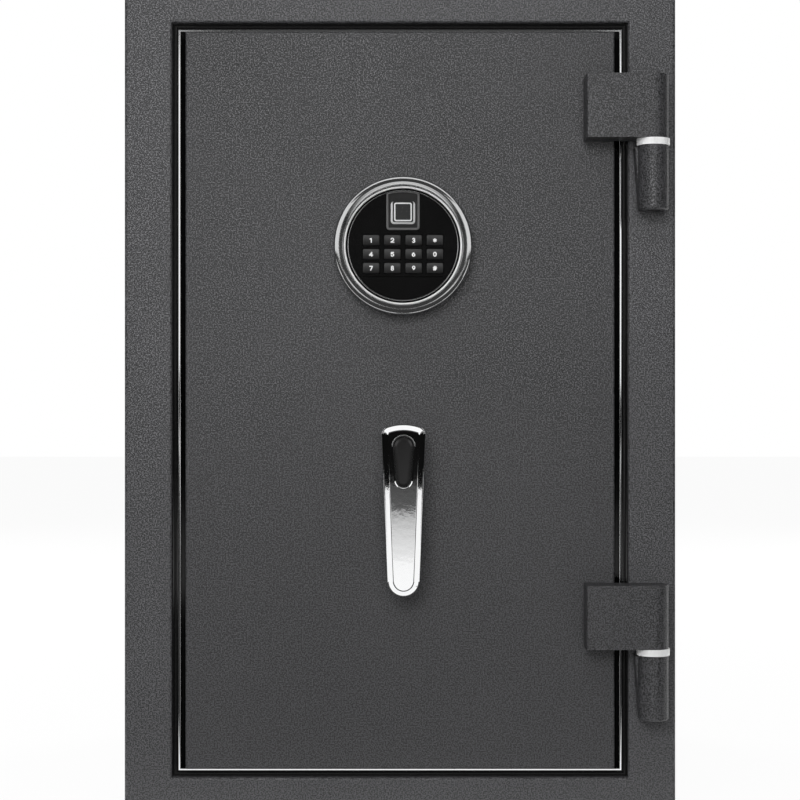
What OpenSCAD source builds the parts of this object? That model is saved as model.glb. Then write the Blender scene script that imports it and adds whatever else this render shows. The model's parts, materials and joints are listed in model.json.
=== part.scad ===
// Fire-resistant safe with a keypad and fingerprint lock, a lever handle and outside hinges.
// Millimetres. +Z is up, the front faces -Y and +X is at the viewer's right.
// The origin is the centre of the underside.

/* [Cabinet] */
// Outer width
cab_w = 430; // [400:1:500]
// Outer height
cab_h = 670; // [640:1:760]
// Outer depth, from the front frame to the back panel
cab_d = 430; // [400:1:520]
// Thickness of the outer steel sheet
sheet = 2; // [1.5:0.1:3]
// Thickness of the whole wall, from the outer sheet to the inside
wall = 54; // [54:1:62]
// Corner radius of the cabinet, seen from the front
cab_corner_r = 5; // [4:0.5:10]
// Fold radius of the front edges
cab_edge_r = 2.5; // [1:0.1:3]
// Sheet thickness of the inner liner
liner_t = 1.5; // [1:0.1:2.5]

/* [Door opening] */
// Width of the front frame at the left and right
border_side = 37; // [34:0.5:37]
// Width of the front frame at the top and bottom
border_top = 40.5; // [36:0.5:40.5]
// Fold radius at the edge of the opening
open_edge_r = 2; // [1:0.1:2]
// Depth of the fold that runs into the opening
return_d = 10; // [6:0.5:14]
// Depth of the shoulder that the door closes against
step_d = 20; // [19.5:0.5:24]
// Width of the black moulding round the opening
trim_w = 6.3; // [6:0.1:6.8]
// Depth of the moulding's front face
trim_front = 4.6; // [3:0.1:8]
// Radius of the two beads on the moulding
bead_r = 1; // [0.6:0.1:1.2]
// Distance of the outer bead from the edge of the opening
bead_edge = 2.4; // [2:0.1:2.6]
// Thickness of the moulding's shoulder
trim_t = 2; // [1.5:0.1:3]

/* [Door] */
// Space between the door plate and the opening at each side
side_gap = 10.6; // [9:0.1:10.6]
// Space between the door plate and the opening at the top and bottom
top_gap = 7.1; // [6.8:0.1:7.1]
// Thickness of the front plate
plate_t = 3; // [2:0.1:5]
// Edge radius of the front plate
plate_edge_r = 1.2; // [0.6:0.1:1.5]
// Depth of the door's head, from the front to the seal
head_d = 17; // [15:0.1:17.5]
// Wall of the black edge frame behind the front plate
edge_wall = 4; // [3:0.1:5]
// How far the edge frame sits inside the front plate
edge_inset = 0.8; // [0.4:0.1:1]
// Sheet thickness of the door pan and of the inner panel
pan_t = 1.5; // [1:0.1:2]
// Depth of the inner panel's face
door_d = 70; // [66:0.5:72]
// Room for the boltwork, from the pan's back to the inner panel's face
works_d = 26; // [25:0.5:28]
// Space between the pan and the throat at each side
plug_side_gap = 7; // [7:0.5:9]
// Space between the pan and the throat at the top and bottom
plug_top_gap = 4; // [3:0.5:6]
// Space between the inner panel and the throat at each side
cover_side_gap = 11; // [11:0.5:12]
// Space between the inner panel and the throat at the top and bottom
cover_top_gap = 8; // [6:0.5:12]
// Width of the seal strip
seal_w = 5; // [4:0.1:5]
// Space that the seal keeps from the shoulder when it isn't squeezed
seal_gap = 0.3; // [0.2:0.05:0.4]

/* [Hinges] */
// Radius of the hinge barrels
hinge_r = 11.7; // [10:0.1:12.5]
// Distance of the hinge axis in front of the frame
hinge_out = 14; // [13.5:0.1:16]
// Distance of the hinge axis from the cabinet's right side
hinge_in = 19.5; // [18:0.5:21]
// Length of a hinge leaf from the hinge axis
leaf_l = 52.3; // [46:0.1:62]
// Height of a hinge leaf
leaf_h = 49.2; // [40:0.5:60]
// Thickness of the bright washer
washer_t = 5.2; // [3:0.1:6]
// Radius of the bright washer
washer_r = 12.7; // [12:0.1:14]
// Height of a hinge barrel on the cabinet
barrel_h = 50; // [40:0.5:60]
// Top of the upper leaf above the middle of the door
upper_leaf_top = 250.7; // [230:0.5:260]
// Distance between the two hinges
hinge_pitch = 393; // [370:1:410]
// Radius of the hinge pins
hinge_pin_r = 6; // [5:0.5:7]
// Solid top of a hinge leaf over its pin
knuckle_roof = 8; // [5:0.5:12]

/* [Handle] */
// Handle axis from the cabinet's centre plane
handle_x = 2.7; // [-5:0.1:10]
// Handle axis below the middle of the door
handle_drop = 47.3; // [40:0.1:60]
// Width of the lever at its hub
lever_top_w = 33.4; // [28:0.2:36]
// Width of the lever at its tip
lever_tip_w = 24.8; // [20:0.2:28]
// Length of the lever above the axis
lever_up = 29; // [26:0.5:32]
// Length of the lever below the axis
lever_down = 103; // [80:1:130]
// Space behind the lever for the fingers
lever_gap = 20; // [16:0.5:26]
// Thickness of the lever
lever_t = 15; // [13:0.5:18]
// Width of the bevel round the lever's front
lever_bevel = 3.6; // [2:0.1:5]
// Radius of the hub behind the lever
hub_r = 15; // [12:0.5:16]
// Height of the lever's arched top over its corners
lever_crown = 8.2; // [7.5:0.1:10]
// Radius of the lever's upper corners
lever_corner_r = 6.5; // [5:0.1:7]
// Radius of the spindle
spindle_r = 6; // [5:0.5:6.5]
// Upper radius of the keyhole cap
cap_top_r = 7.2; // [6.5:0.1:8]
// Lower radius of the keyhole cap
cap_low_r = 5.3; // [4.5:0.1:6]
// Height of the keyhole cap
cap_h = 37.8; // [30:0.2:42]

/* [Keypad] */
// Keypad centre from the cabinet's centre plane
pad_x = 2.3; // [-5:0.1:10]
// Keypad centre above the middle of the door
pad_up = 119.2; // [100:0.1:140]
// Outer radius of the keypad's ring
ring_r = 53.5; // [53:0.1:56]
// Width of the keypad's ring
ring_w = 7.3; // [6:0.1:7.3]
// Height of the keypad's ring in front of the door
ring_h = 19; // [17:0.1:22]
// Height of the black face in front of the door
face_h = 15; // [14:0.1:16]
// Thickness of the black face
face_t = 2.4; // [1.8:0.1:3]
// Width of a key
key_w = 12.6; // [11:0.1:14]
// Height of a key
key_h = 8.35; // [7:0.05:9]
// Distance between key columns
key_pitch_x = 16.4; // [15.5:0.1:17]
// Distance between key rows
key_pitch_z = 10.75; // [10.2:0.05:11]
// Travel of a key
key_travel = 1; // [0.5:0.1:1.5]
// Height of the flap's seam below the keypad's centre
seam_drop = 24; // [24:0.1:26]

/* [Locking] */
// Radius of the locking bolts
bolt_r = 9; // [7:0.5:9.5]
// Travel of the locking bolts
bolt_throw = 24; // [18:0.5:25]
// Distance between the locking bolts
bolt_pitch = 190; // [160:1:195]
// Depth of the bolts' axes behind the door pan
bolt_in = 11.5; // [11:0.1:12.5]
// Radius of the fixed bolts at the hinge side
dog_r = 7; // [5:0.5:8]
// How far the fixed bolts reach past the throat
dog_reach = 12; // [8:0.5:13]
// Radius of the cam follower
follower_r = 4; // [3:0.5:5]
// Smallest radius of the cam's track
track_r = 20; // [19:0.5:24]
// Angle that the handle turns through
handle_angle = 90; // [80:1:100]
// Travel of the lock's plunger
plunger_travel = 6; // [4:0.5:8]

/* [Inside] */
// Height of the shelf above the underside
shelf_z = 330; // [250:1:420]
// Travel of the shelf forwards and backwards
shelf_travel = 25; // [10:1:28]
// Distance between the anchor holes, left to right
anchor_x = 180; // [120:1:220]
// Distance between the anchor holes, front to back
anchor_y = 160; // [120:1:200]
// Centre of the anchor holes behind the middle of the cabinet
anchor_back = 10; // [0:1:20]
// Radius of the anchor holes
anchor_r = 6; // [4:0.5:8]

/* [Hidden] */
$fn = 64;

// Colours
charcoal = [0.30, 0.30, 0.31];
gloss_black = [0.03, 0.03, 0.03];
bright_steel = [0.78, 0.79, 0.80];
dark_chrome = [0.45, 0.45, 0.47];
zinc = [0.62, 0.63, 0.64];
fill_grey = [0.80, 0.78, 0.72];
liner_grey = [0.55, 0.55, 0.56];
plastic_grey = [0.16, 0.16, 0.17];

// Clearances
run_gap = 0.05;
slide_gap = 0.3;

// Overshoot of the cuts
over = 1;

// Places and sizes that follow from the driving dimensions
mid_z = cab_h / 2;
open_w = cab_w - 2 * border_side;
open_h = cab_h - 2 * border_top;
throat_w = cab_w - 2 * wall;
throat_h = cab_h - 2 * wall;
throat_d = step_d + trim_t;
liner_back = cab_d - wall;
door_w = open_w - 2 * side_gap;
door_h = open_h - 2 * top_gap;
frame_w = door_w - 2 * edge_inset;
frame_h = door_h - 2 * edge_inset;
plug_w = throat_w - 2 * plug_side_gap;
plug_h = throat_h - 2 * plug_top_gap;
cover_w = throat_w - 2 * cover_side_gap;
cover_h = throat_h - 2 * cover_top_gap;
pan_d = door_d - works_d;
bolt_d = pan_d + bolt_in;
hinge_x = cab_w / 2 - hinge_in;
hinge_y = -cab_d / 2 - hinge_out;
leaf_x = hinge_x - leaf_l;
pin_end_gap = 2;
hinge_tops = [mid_z + upper_leaf_top, mid_z + upper_leaf_top - hinge_pitch];
handle_z = mid_z - handle_drop;
pad_z = mid_z + pad_up;
bolt_zs = [mid_z - bolt_pitch, mid_z, mid_z + bolt_pitch];

// Boltwork, as depths behind the front and places along X
guide_t = 3;
guide_gap = 6;
guide_x = -cover_w / 2 + guide_gap;
bolt_proud = 1;
bolt_tip_x = -cover_w / 2 - bolt_proud;
bolt_len = 47;
bar_x = bolt_tip_x + bolt_len;
bar_t = 4;
bar_past = 25;
bar_half = bolt_pitch + bar_past;
bar_foot = 1.5;
bar_wide = 2 * bolt_r - 1.4;
arm_d = bolt_d - 2;
arm_t = 4;
arm_w = 24;
arm_end_x = handle_x - track_r + follower_r + 5;
arm_back = arm_d + arm_t;
track_end_r = track_r + bolt_throw;
cam_r = track_end_r + follower_r + 6;
cam_t = 4;
cam_d = pan_d + 2.5;
cam_boss_r = 11;
cam_boss_t = 0.7;
square_af = spindle_r * 4 / 3;
square_end = cam_d + cam_t + 0.5;
stud_r = 3;
stud_head_r = 5.5;
studs_x = [bar_x + bar_t + 16, bar_x + bar_t + 30];
pocket_gap = 1;
pocket_deep = bolt_throw - cover_side_gap + bolt_proud + 3;
strike_t = 4;
dog_swing = 7.5;
channel_back = bolt_d + bolt_r + pocket_gap;
// Bolt channels in the left and right walls: depths of the front and the back, and how far they reach outwards
left_channel = [bolt_d - bolt_r - pocket_gap, channel_back, pocket_deep];
right_channel = [bolt_d - dog_r - dog_swing, channel_back, dog_reach + 5];
liner_front = channel_back + liner_t;
weld_gap = 0.05;
dog_tip_x = throat_w / 2 + dog_reach;
dog_bar_x = cover_w / 2 - 18;
dog_bar_w = 6;

// Lock parts
solenoid_x = handle_x + cam_r + 16;
solenoid_l = 32;
solenoid_h = 22;
solenoid_deep = 14;
solenoid_foot = 8;
plunger_r = 3.6;
plunger_d = cam_d + cam_t + 0.5;
notch_w = 2 * plunger_r + 1.8;
notch_deep = plunger_travel + 1;

// Handle parts, as depths: in front of the door is negative
lever_back = -lever_gap;
lever_front = lever_back - lever_t;
cap_t = 3.4;
cap_floor = lever_front + cap_t;
cylinder_r = 6;
cylinder_front = cap_floor + 0.4;
cylinder_back = lever_back + 4;
plug_r = 4;
plug_back = cylinder_back - 2;
spindle_front = cylinder_back + 2;
hub_front_gap = 0.4;

// Keypad parts, as heights in front of the door
housing_t = 3;
housing_h = 10;
inner_ring_h = 16;
inner_ring_r = ring_r - ring_w - 0.1;
lip_r = 1.4;
face_r = inner_ring_r - 4;
face_gap = 0.1;
bore_r = face_r - 2.2;
cable_r = 8;
pad_fn = 128;
board_h = 4;
board_t = 1.6;
board_edge = 1.1;
board_w = 3 * key_pitch_x + key_w + 2 * board_edge;
board_tall = 44;
board_corner_r = 3;
key_flange_h = face_h - face_t - 1.7;
key_flange_t = 1.3;
key_proud = 0.9;
key_flange = 0.7;
key_bottom = board_h + board_t + key_travel + 0.4;
key_stem_r = 3;
key_corner_r = 1.1;
key_rise = 3.95;
key_gap = 0.25;
sensor_w = 25.7;
sensor_low = 12;
sensor_mid = 25.6;
sensor_corner_r = 2.5;
sensor_rim = 1;
window_w = 12.4;
window_h = 13.2;
window_low = face_h - face_t + 0.8;
flap_t = 2;
flap_drop = seam_drop + slide_gap + flap_t / 2;
flap_half = sqrt(face_r * face_r - flap_drop * flap_drop) - 1.9;
flap_axis_z = pad_z - flap_drop;
flap_axis_h = face_h - flap_t / 2;
trunnion_r = 0.8;
trunnion_l = 4;
contact_r = 2.8;
contact_pitch = 12.7;
contact_drop = seam_drop + 7.5;

// Battery box and reset button
battery_x = 20;
battery_z = 125;
battery_r = 7;
battery_len = 50;
battery_pitch = 15;
battery_room = 2;
box_w = 4 * battery_pitch + battery_room;
box_h = battery_len + 2 * battery_room;
box_deep = 19;
box_d = door_d - box_deep;
box_t = 1;
box_flange = 4;
lid_t = 1.8;
lid_lap = 3;
lid_axis_d = door_d + slide_gap + lid_t / 2;
lid_axis_z = battery_z + box_h / 2 + lid_lap;
lug_w = 3;
lug_t = 4;
button_x = 85;
button_r = 4;
button_proud = 1.5;
pillar_r = 4;
screw_l = 12;
screw_r = 1.6;
screw_head_r = 3.5;
pillar_x = cover_w / 2 - 25;
pillar_z = cover_h / 2 - 16;
pillars = [for (sx = [-1, 0, 1]) for (sz = [-1, 1]) [sx * pillar_x, mid_z + sz * pillar_z]];

// Inside fittings
shelf_t = 1.5;
shelf_fold = 18;
shelf_front = door_d + 10 + shelf_travel;
shelf_d = liner_back - 6 - shelf_travel - shelf_front;
shelf_side_gap = 1.5;
peg_in = 35;
peg_ds = [shelf_front + peg_in, shelf_front + shelf_d - peg_in];
peg_w = 12;
peg_reach = 10;
peg_t = 2;

// Depth behind the front frame, as a Y coordinate
function y_at(d) = -cab_d / 2 + d;

// Radius of the cam's track at a given turn of the handle, in degrees
function track_at(a) = track_r + bolt_throw * a / handle_angle;

// Point on the middle of the cam's track, from the handle axis
function track_point(a) = [-track_at(a) * cos(a), -track_at(a) * sin(a)];

// Unit vector across the track
function track_across(a) =
    let (rise = bolt_throw / handle_angle * 180 / PI)
    let (v = [-rise * cos(a) + track_at(a) * sin(a), -rise * sin(a) - track_at(a) * cos(a)])
    [-v[1], v[0]] / norm(v);

// Points of the round end of the cam's track, from the side dir of its middle line to the other
function track_end(a, r, dir) =
    let (v = dir * track_across(a))
    let (start = atan2(v[1], v[0]))
    [for (i = [1 : 11]) track_point(a) + r * [cos(start - 15 * i), sin(start - 15 * i)]];

// Points of an arc, from angle a0 to a1
function arc(centre, r, a0, a1, n) =
    [for (i = [0 : n]) let (a = a0 + (a1 - a0) * i / n) centre + r * [cos(a), sin(a)]];

// Outline of the lever, drawn in from its edge by inset. The axis is at [0, 0].
function lever_outline(inset) =
    let (tip_r = lever_tip_w / 2 - inset)
    let (tip_z = -lever_down + lever_tip_w / 2)
    let (half = lever_top_w / 2 - inset)
    let (corner = lever_corner_r - inset * 0.6)
    let (shoulder_z = lever_up - inset - lever_crown)
    let (lean = atan2(lever_top_w / 2 - lever_tip_w / 2, shoulder_z - tip_z))
    let (rise = lever_crown - corner)
    let (arch_half = half - corner)
    let (arch_r = (arch_half * arch_half + rise * rise) / (2 * rise))
    let (arch_a = asin(arch_half / arch_r))
    concat(
        arc([0, tip_z], tip_r, 180 + lean, 360 - lean, 16),
        arc([arch_half, shoulder_z], corner, -lean, 90 - arch_a, 5),
        arc([0, lever_up - inset - arch_r - corner], arch_r + corner, 90 - arch_a, 90 + arch_a, 10),
        arc([-arch_half, shoulder_z], corner, 90 + arch_a, 180 + lean, 5)
    );

// Extrudes a front view through the depth from d0 to d1
module slab(d0, d1) {
    translate([0, y_at(d1), 0]) rotate([90, 0, 0]) linear_extrude(d1 - d0) children();
}

// Extrudes a front view from height h0 to h1 in front of the door
module stand(h0, h1) {
    slab(-h1, -h0) children();
}

// Rectangle with true round corners, centred
module rounded_rect(w, h, r) {
    square([w - 2 * r, h], center = true);
    square([w, h - 2 * r], center = true);
    for (sx = [-1, 1]) for (sz = [-1, 1])
        translate([sx * (w / 2 - r), sz * (h / 2 - r)]) circle(r);
}

// Front view placed at the middle of the door
module at_mid() {
    translate([0, mid_z]) children();
}

// Round bar along Y
module bar_y(r, x, z, d0, d1) {
    translate([x, y_at(d1), z]) rotate([90, 0, 0]) cylinder(r = r, h = d1 - d0);
}

// Round bar along X
module bar_x(r, d, z, x0, x1) {
    translate([x0, y_at(d), z]) rotate([0, 90, 0]) cylinder(r = r, h = x1 - x0);
}

// Front view's width w, filled from depth d0 to d1, with the child's section at both ends
module filled_section(w, d0, d1, reach) {
    translate([-w / 2 + reach, d0]) square([w - 2 * reach, d1 - d0]);
    for (m = [0, 1]) mirror([m, 0]) translate([w / 2, 0]) children();
}

// Body of a w by h front view from depth d0 to d1, whose four sides follow the child's section. In the
// section, x is the distance outwards from the rectangle, from -2 * reach, and y is the depth.
module edged_body(w, h, d0, d1, reach) {
    translate([0, y_at(0), mid_z]) intersection() {
        translate([0, 0, -h]) linear_extrude(2 * h) filled_section(w, d0, d1, reach) children();
        rotate([0, 90, 0]) translate([0, 0, -w]) linear_extrude(2 * w)
            filled_section(h, d0, d1, reach) children();
    }
}

// Section of a side whose front edge is rounded
module soft_edge(r, depth) {
    translate([-4 * r, r]) square([4 * r, depth - r]);
    translate([-4 * r, 0]) square([3 * r, 2 * r]);
    translate([-r, r]) circle(r);
}

// Section of an opening whose front edge is rounded
module flared_edge(r) {
    difference() {
        translate([-4 * r, -over]) square([5 * r, over + r]);
        translate([r, r]) circle(r);
    }
}

// Ring of round section on a w by h rectangle, at depth d
module bead_ring(w, h, d, r) {
    reach = 2 * r;
    difference() {
        edged_body(w, h, d - r, d + r, reach) {
            translate([-2 * reach, d - r]) square([2 * reach, 2 * r]);
            translate([0, d]) circle(r);
        }
        edged_body(w, h, d - reach, d + reach, reach) difference() {
            translate([-2 * reach, d - reach]) square([2 * reach, 2 * reach]);
            translate([0, d]) circle(r);
        }
    }
}

// Oval of two radii, the larger on top, with straight sides that run just inside the tangents
module egg(r_top, r_low, h) {
    span = h - r_top - r_low;
    lean = asin((r_top - r_low) / span);
    side = 0.02;
    top = r_top - side;
    low = r_low - side;
    translate([0, h / 2 - r_top]) {
        circle(r_top);
        translate([0, -span]) circle(r_low);
        polygon([
            [top * cos(lean), -top * sin(lean)], [-top * cos(lean), -top * sin(lean)],
            [-low * cos(lean), -span - low * sin(lean)], [low * cos(lean), -span - low * sin(lean)]
        ]);
    }
}

module anchor_holes() {
    for (sx = [-1, 1]) for (sy = [-1, 1])
        translate([sx * anchor_x / 2, anchor_back + sy * anchor_y / 2, -over])
            cylinder(r = anchor_r, h = wall + 2 * over);
}

// Box in the left (-1) or right (1) wall, from x0 to x1 and depth d0 to d1
module side_box(s, x0, x1, d0, d1, half) {
    translate([s > 0 ? x0 : -x1, y_at(d0), mid_z - half]) cube([x1 - x0, d1 - d0, 2 * half]);
}

// Outside of the bolt channel in a side wall, lengthened backwards by extra
module channel_body(s, extra) {
    c = s < 0 ? left_channel : right_channel;
    side_box(s, throat_w / 2 - extra, throat_w / 2 + c[2] + liner_t, c[0] - strike_t, c[1] + liner_t + extra,
        bar_half + liner_t);
}

// Space in the bolt channel
module channel_room(s) {
    c = s < 0 ? left_channel : right_channel;
    side_box(s, throat_w / 2 - over, throat_w / 2 + c[2], c[0], c[1], bar_half);
}

module outer_shell() {
    color(charcoal) difference() {
        union() {
            difference() {
                intersection() {
                    slab(0, cab_d) at_mid() rounded_rect(cab_w, cab_h, cab_corner_r);
                    edged_body(cab_w, cab_h, 0, cab_d, 2 * cab_edge_r) soft_edge(cab_edge_r, cab_d);
                }
                slab(sheet, cab_d + over) at_mid()
                    rounded_rect(cab_w - 2 * sheet, cab_h - 2 * sheet, cab_corner_r - sheet);
            }
            slab(0, return_d) at_mid() square([open_w + 2 * sheet, open_h + 2 * sheet], center = true);
        }
        slab(-over, return_d + over) at_mid() square([open_w, open_h], center = true);
        edged_body(open_w, open_h, -over, open_edge_r, 2 * open_edge_r) flared_edge(open_edge_r);
        anchor_holes();
    }
}

module back_panel() {
    color(charcoal) slab(cab_d - sheet, cab_d) at_mid()
        rounded_rect(cab_w - 2 * sheet, cab_h - 2 * sheet, cab_corner_r - sheet);
}

module cabinet_insulation() {
    color(fill_grey) difference() {
        slab(sheet, cab_d - sheet) at_mid()
            rounded_rect(cab_w - 2 * sheet, cab_h - 2 * sheet, cab_corner_r - sheet);
        slab(-over, return_d) at_mid() square([open_w + 2 * sheet, open_h + 2 * sheet], center = true);
        slab(-over, throat_d) at_mid() square([open_w, open_h], center = true);
        slab(throat_d - over, liner_back + liner_t) at_mid()
            square([throat_w + 2 * liner_t, throat_h + 2 * liner_t], center = true);
        for (s = [-1, 1]) channel_body(s, 0);
        anchor_holes();
    }
}

// Five flat sheets: the sides run the full height, the floor and top sit between them, and the
// back sits between all four
module inner_liner() {
    w = throat_w - 2 * weld_gap;
    color(liner_grey) difference() {
        for (s = [-1, 1]) slab(liner_front, liner_back + liner_t) at_mid() {
            translate([s * (throat_w + liner_t) / 2, 0])
                square([liner_t, throat_h + 2 * liner_t], center = true);
            translate([0, s * (throat_h + liner_t) / 2]) square([w, liner_t], center = true);
        }
        anchor_holes();
    }
    color(liner_grey) slab(liner_back, liner_back + liner_t) at_mid()
        square([w, throat_h - 2 * weld_gap], center = true);
}

// Sheet lining of the door's throat, cut out at both sides for the bolt channels
module door_jamb() {
    color(liner_grey) difference() {
        slab(throat_d, liner_front) at_mid() difference() {
            square([throat_w + 2 * liner_t, throat_h + 2 * liner_t], center = true);
            square([throat_w, throat_h], center = true);
        }
        for (s = [-1, 1]) channel_body(s, over);
    }
}

// Section up to the outer side (1) or the inner side (-1) of a bead on the moulding, u in from the opening
module up_to_bead(u, side, reach) {
    difference() {
        union() {
            translate([-2 * reach, 0]) square([2 * reach - u, trim_front]);
            if (side > 0) translate([-u, trim_front]) circle(bead_r);
        }
        if (side < 0) translate([-u, trim_front]) circle(bead_r);
    }
}

module door_frame_trim() {
    reach = 2 * trim_w;
    outer = bead_edge;
    inner = trim_w - bead_r;
    color(gloss_black) difference() {
        intersection() {
            edged_body(open_w, open_h, 0, throat_d, reach) {
                translate([-2 * reach, trim_front]) square([2 * reach, throat_d - trim_front]);
                up_to_bead(outer, 1, reach);
            }
            slab(trim_front - bead_r, throat_d) at_mid() square([open_w, open_h], center = true);
        }
        // Valley between the beads
        difference() {
            edged_body(open_w, open_h, 0, trim_front, reach) up_to_bead(outer, -1, reach);
            edged_body(open_w, open_h, 0, trim_front + bead_r, reach) up_to_bead(inner, 1, reach);
        }
        edged_body(open_w, open_h, 0, step_d, reach) {
            translate([-2 * reach, 0]) square([2 * reach - trim_w, step_d]);
            up_to_bead(inner, -1, reach);
        }
        slab(0, throat_d + over) at_mid() square([throat_w, throat_h], center = true);
    }
}

// Steel channels in the side walls. The bolts bear on their thick front side.
module strike_plates() {
    color(zinc) for (s = [-1, 1]) difference() {
        channel_body(s, 0);
        channel_room(s);
    }
}

// Hinge barrel with its welded saddle. top is the upper end of the hinge leaf above it.
module hinge_barrel(top) {
    high = top - leaf_h - washer_t;
    low = high - barrel_h;
    chamfer = 1.2;
    saddle_r = hinge_x + hinge_r - 2;
    color(charcoal) difference() {
        union() {
            translate([hinge_x, hinge_y, low + chamfer]) cylinder(r = hinge_r, h = barrel_h - chamfer);
            translate([hinge_x, hinge_y, low]) cylinder(r1 = hinge_r - chamfer, r2 = hinge_r, h = chamfer);
            slab(-hinge_out, 0) polygon([
                [hinge_x - hinge_r + 1.5, low + 2], [saddle_r, low + 2],
                [saddle_r, high - 1], [hinge_x - hinge_r - 2.2, high - 1]
            ]);
        }
        translate([hinge_x, hinge_y, low - over]) cylinder(r = hinge_pin_r, h = barrel_h + 2 * over);
    }
}

module hinge_barrel_upper() {
    hinge_barrel(hinge_tops[0]);
}

module hinge_barrel_lower() {
    hinge_barrel(hinge_tops[1]);
}

module hinge_pins() {
    recess = 1;
    length = barrel_h + washer_t + leaf_h - knuckle_roof - pin_end_gap - recess;
    color(bright_steel) for (top = hinge_tops)
        translate([hinge_x, hinge_y, top - knuckle_roof - pin_end_gap - length])
            cylinder(r = hinge_pin_r, h = length);
}

module hinge_washers() {
    color(bright_steel) for (top = hinge_tops)
        translate([hinge_x, hinge_y, top - leaf_h - washer_t]) difference() {
            cylinder(r = washer_r, h = washer_t);
            translate([0, 0, -over]) cylinder(r = hinge_pin_r + slide_gap, h = washer_t + 2 * over);
        }
}

// Hinge leaf on the door, with its knuckle over the pin
module hinge_leaf(top) {
    corner = 1.5;
    front = hinge_y - hinge_r;
    relief_x = door_w / 2 - 0.5;
    color(charcoal) difference() {
        translate([0, 0, top - leaf_h]) linear_extrude(leaf_h) {
            translate([leaf_x + corner, front]) square([hinge_x - leaf_x - corner, 2 * hinge_r]);
            translate([leaf_x, front + corner]) square([relief_x - leaf_x, hinge_out + hinge_r - corner]);
            translate([leaf_x + corner, front + corner]) circle(corner);
            translate([hinge_x, hinge_y]) circle(hinge_r);
        }
        translate([hinge_x, hinge_y, top - leaf_h - over])
            cylinder(r = hinge_pin_r + run_gap, h = leaf_h - knuckle_roof + over);
    }
}

module hinge_leaf_upper() {
    hinge_leaf(hinge_tops[0]);
}

module hinge_leaf_lower() {
    hinge_leaf(hinge_tops[1]);
}

module shelf_supports() {
    under = shelf_z - shelf_t;
    color(zinc) for (s = [-1, 1]) for (d = peg_ds) {
        translate([s * (throat_w - peg_reach) / 2 - peg_reach / 2, y_at(d) - peg_w / 2, under - peg_t])
            cube([peg_reach, peg_w, peg_t]);
        translate([s * (throat_w - peg_t) / 2 - peg_t / 2, y_at(d) - peg_w / 2, under - peg_w])
            cube([peg_t, peg_w, peg_w]);
    }
}

module shelf() {
    w = throat_w - 2 * shelf_side_gap;
    fold_in = peg_reach + 2;
    color(liner_grey) translate([-w / 2, y_at(shelf_front), shelf_z]) {
        translate([0, 0, -shelf_t]) cube([w, shelf_d, shelf_t]);
        for (y = [0, shelf_d - shelf_t]) translate([fold_in, y, -shelf_fold])
            cube([w - 2 * fold_in, shelf_t, shelf_fold]);
    }
}

module door_skin() {
    color(charcoal) difference() {
        edged_body(door_w, door_h, 0, plate_t, 2 * plate_edge_r) soft_edge(plate_edge_r, plate_t);
        bar_y(spindle_r + 2, handle_x, handle_z, -over, plate_t + over);
        bar_y(cable_r, pad_x, pad_z, -over, plate_t + over);
    }
}

module door_edge_frame() {
    color(gloss_black) slab(plate_t, head_d) at_mid() difference() {
        square([frame_w, frame_h], center = true);
        square([frame_w - 2 * edge_wall, frame_h - 2 * edge_wall], center = true);
    }
}

module door_pan() {
    flange_w = frame_w - 2 * edge_wall;
    flange_h = frame_h - 2 * edge_wall;
    color(zinc) difference() {
        union() {
            slab(head_d - pan_t, head_d) at_mid() square([flange_w, flange_h], center = true);
            slab(head_d - pan_t, pan_d) at_mid() square([plug_w, plug_h], center = true);
            for (p = pillars) bar_y(pillar_r, p[0], p[1], pan_d - pan_t, door_d - pan_t);
        }
        slab(head_d - pan_t - over, pan_d - pan_t) at_mid()
            square([plug_w - 2 * pan_t, plug_h - 2 * pan_t], center = true);
        for (p = pillars) bar_y(screw_r, p[0], p[1], door_d - screw_l - 2, door_d);
        bar_y(spindle_r + 2, handle_x, handle_z, pan_d - pan_t - over, pan_d + over);
        bar_y(cable_r, pad_x, pad_z, pan_d - pan_t - over, pan_d + over);
    }
}

module door_insulation() {
    color(fill_grey) difference() {
        union() {
            slab(plate_t, head_d - pan_t) at_mid()
                square([frame_w - 2 * edge_wall, frame_h - 2 * edge_wall], center = true);
            slab(head_d - pan_t, pan_d - pan_t) at_mid()
                square([plug_w - 2 * pan_t, plug_h - 2 * pan_t], center = true);
        }
        bar_y(spindle_r + 2, handle_x, handle_z, plate_t - over, pan_d);
        bar_y(cable_r, pad_x, pad_z, plate_t - over, pan_d);
    }
}

module door_seal() {
    seal_t = step_d - head_d - seal_gap;
    rib = 0.8;
    inset = 0.1;
    w = frame_w - 2 * inset;
    h = frame_h - 2 * inset;
    color(gloss_black) {
        slab(head_d, head_d + seal_t - rib) at_mid() difference() {
            square([w, h], center = true);
            square([w - 2 * seal_w, h - 2 * seal_w], center = true);
        }
        for (u = [rib, seal_w - rib]) bead_ring(w - 2 * u, h - 2 * u, head_d + seal_t - rib, rib);
    }
}

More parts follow.
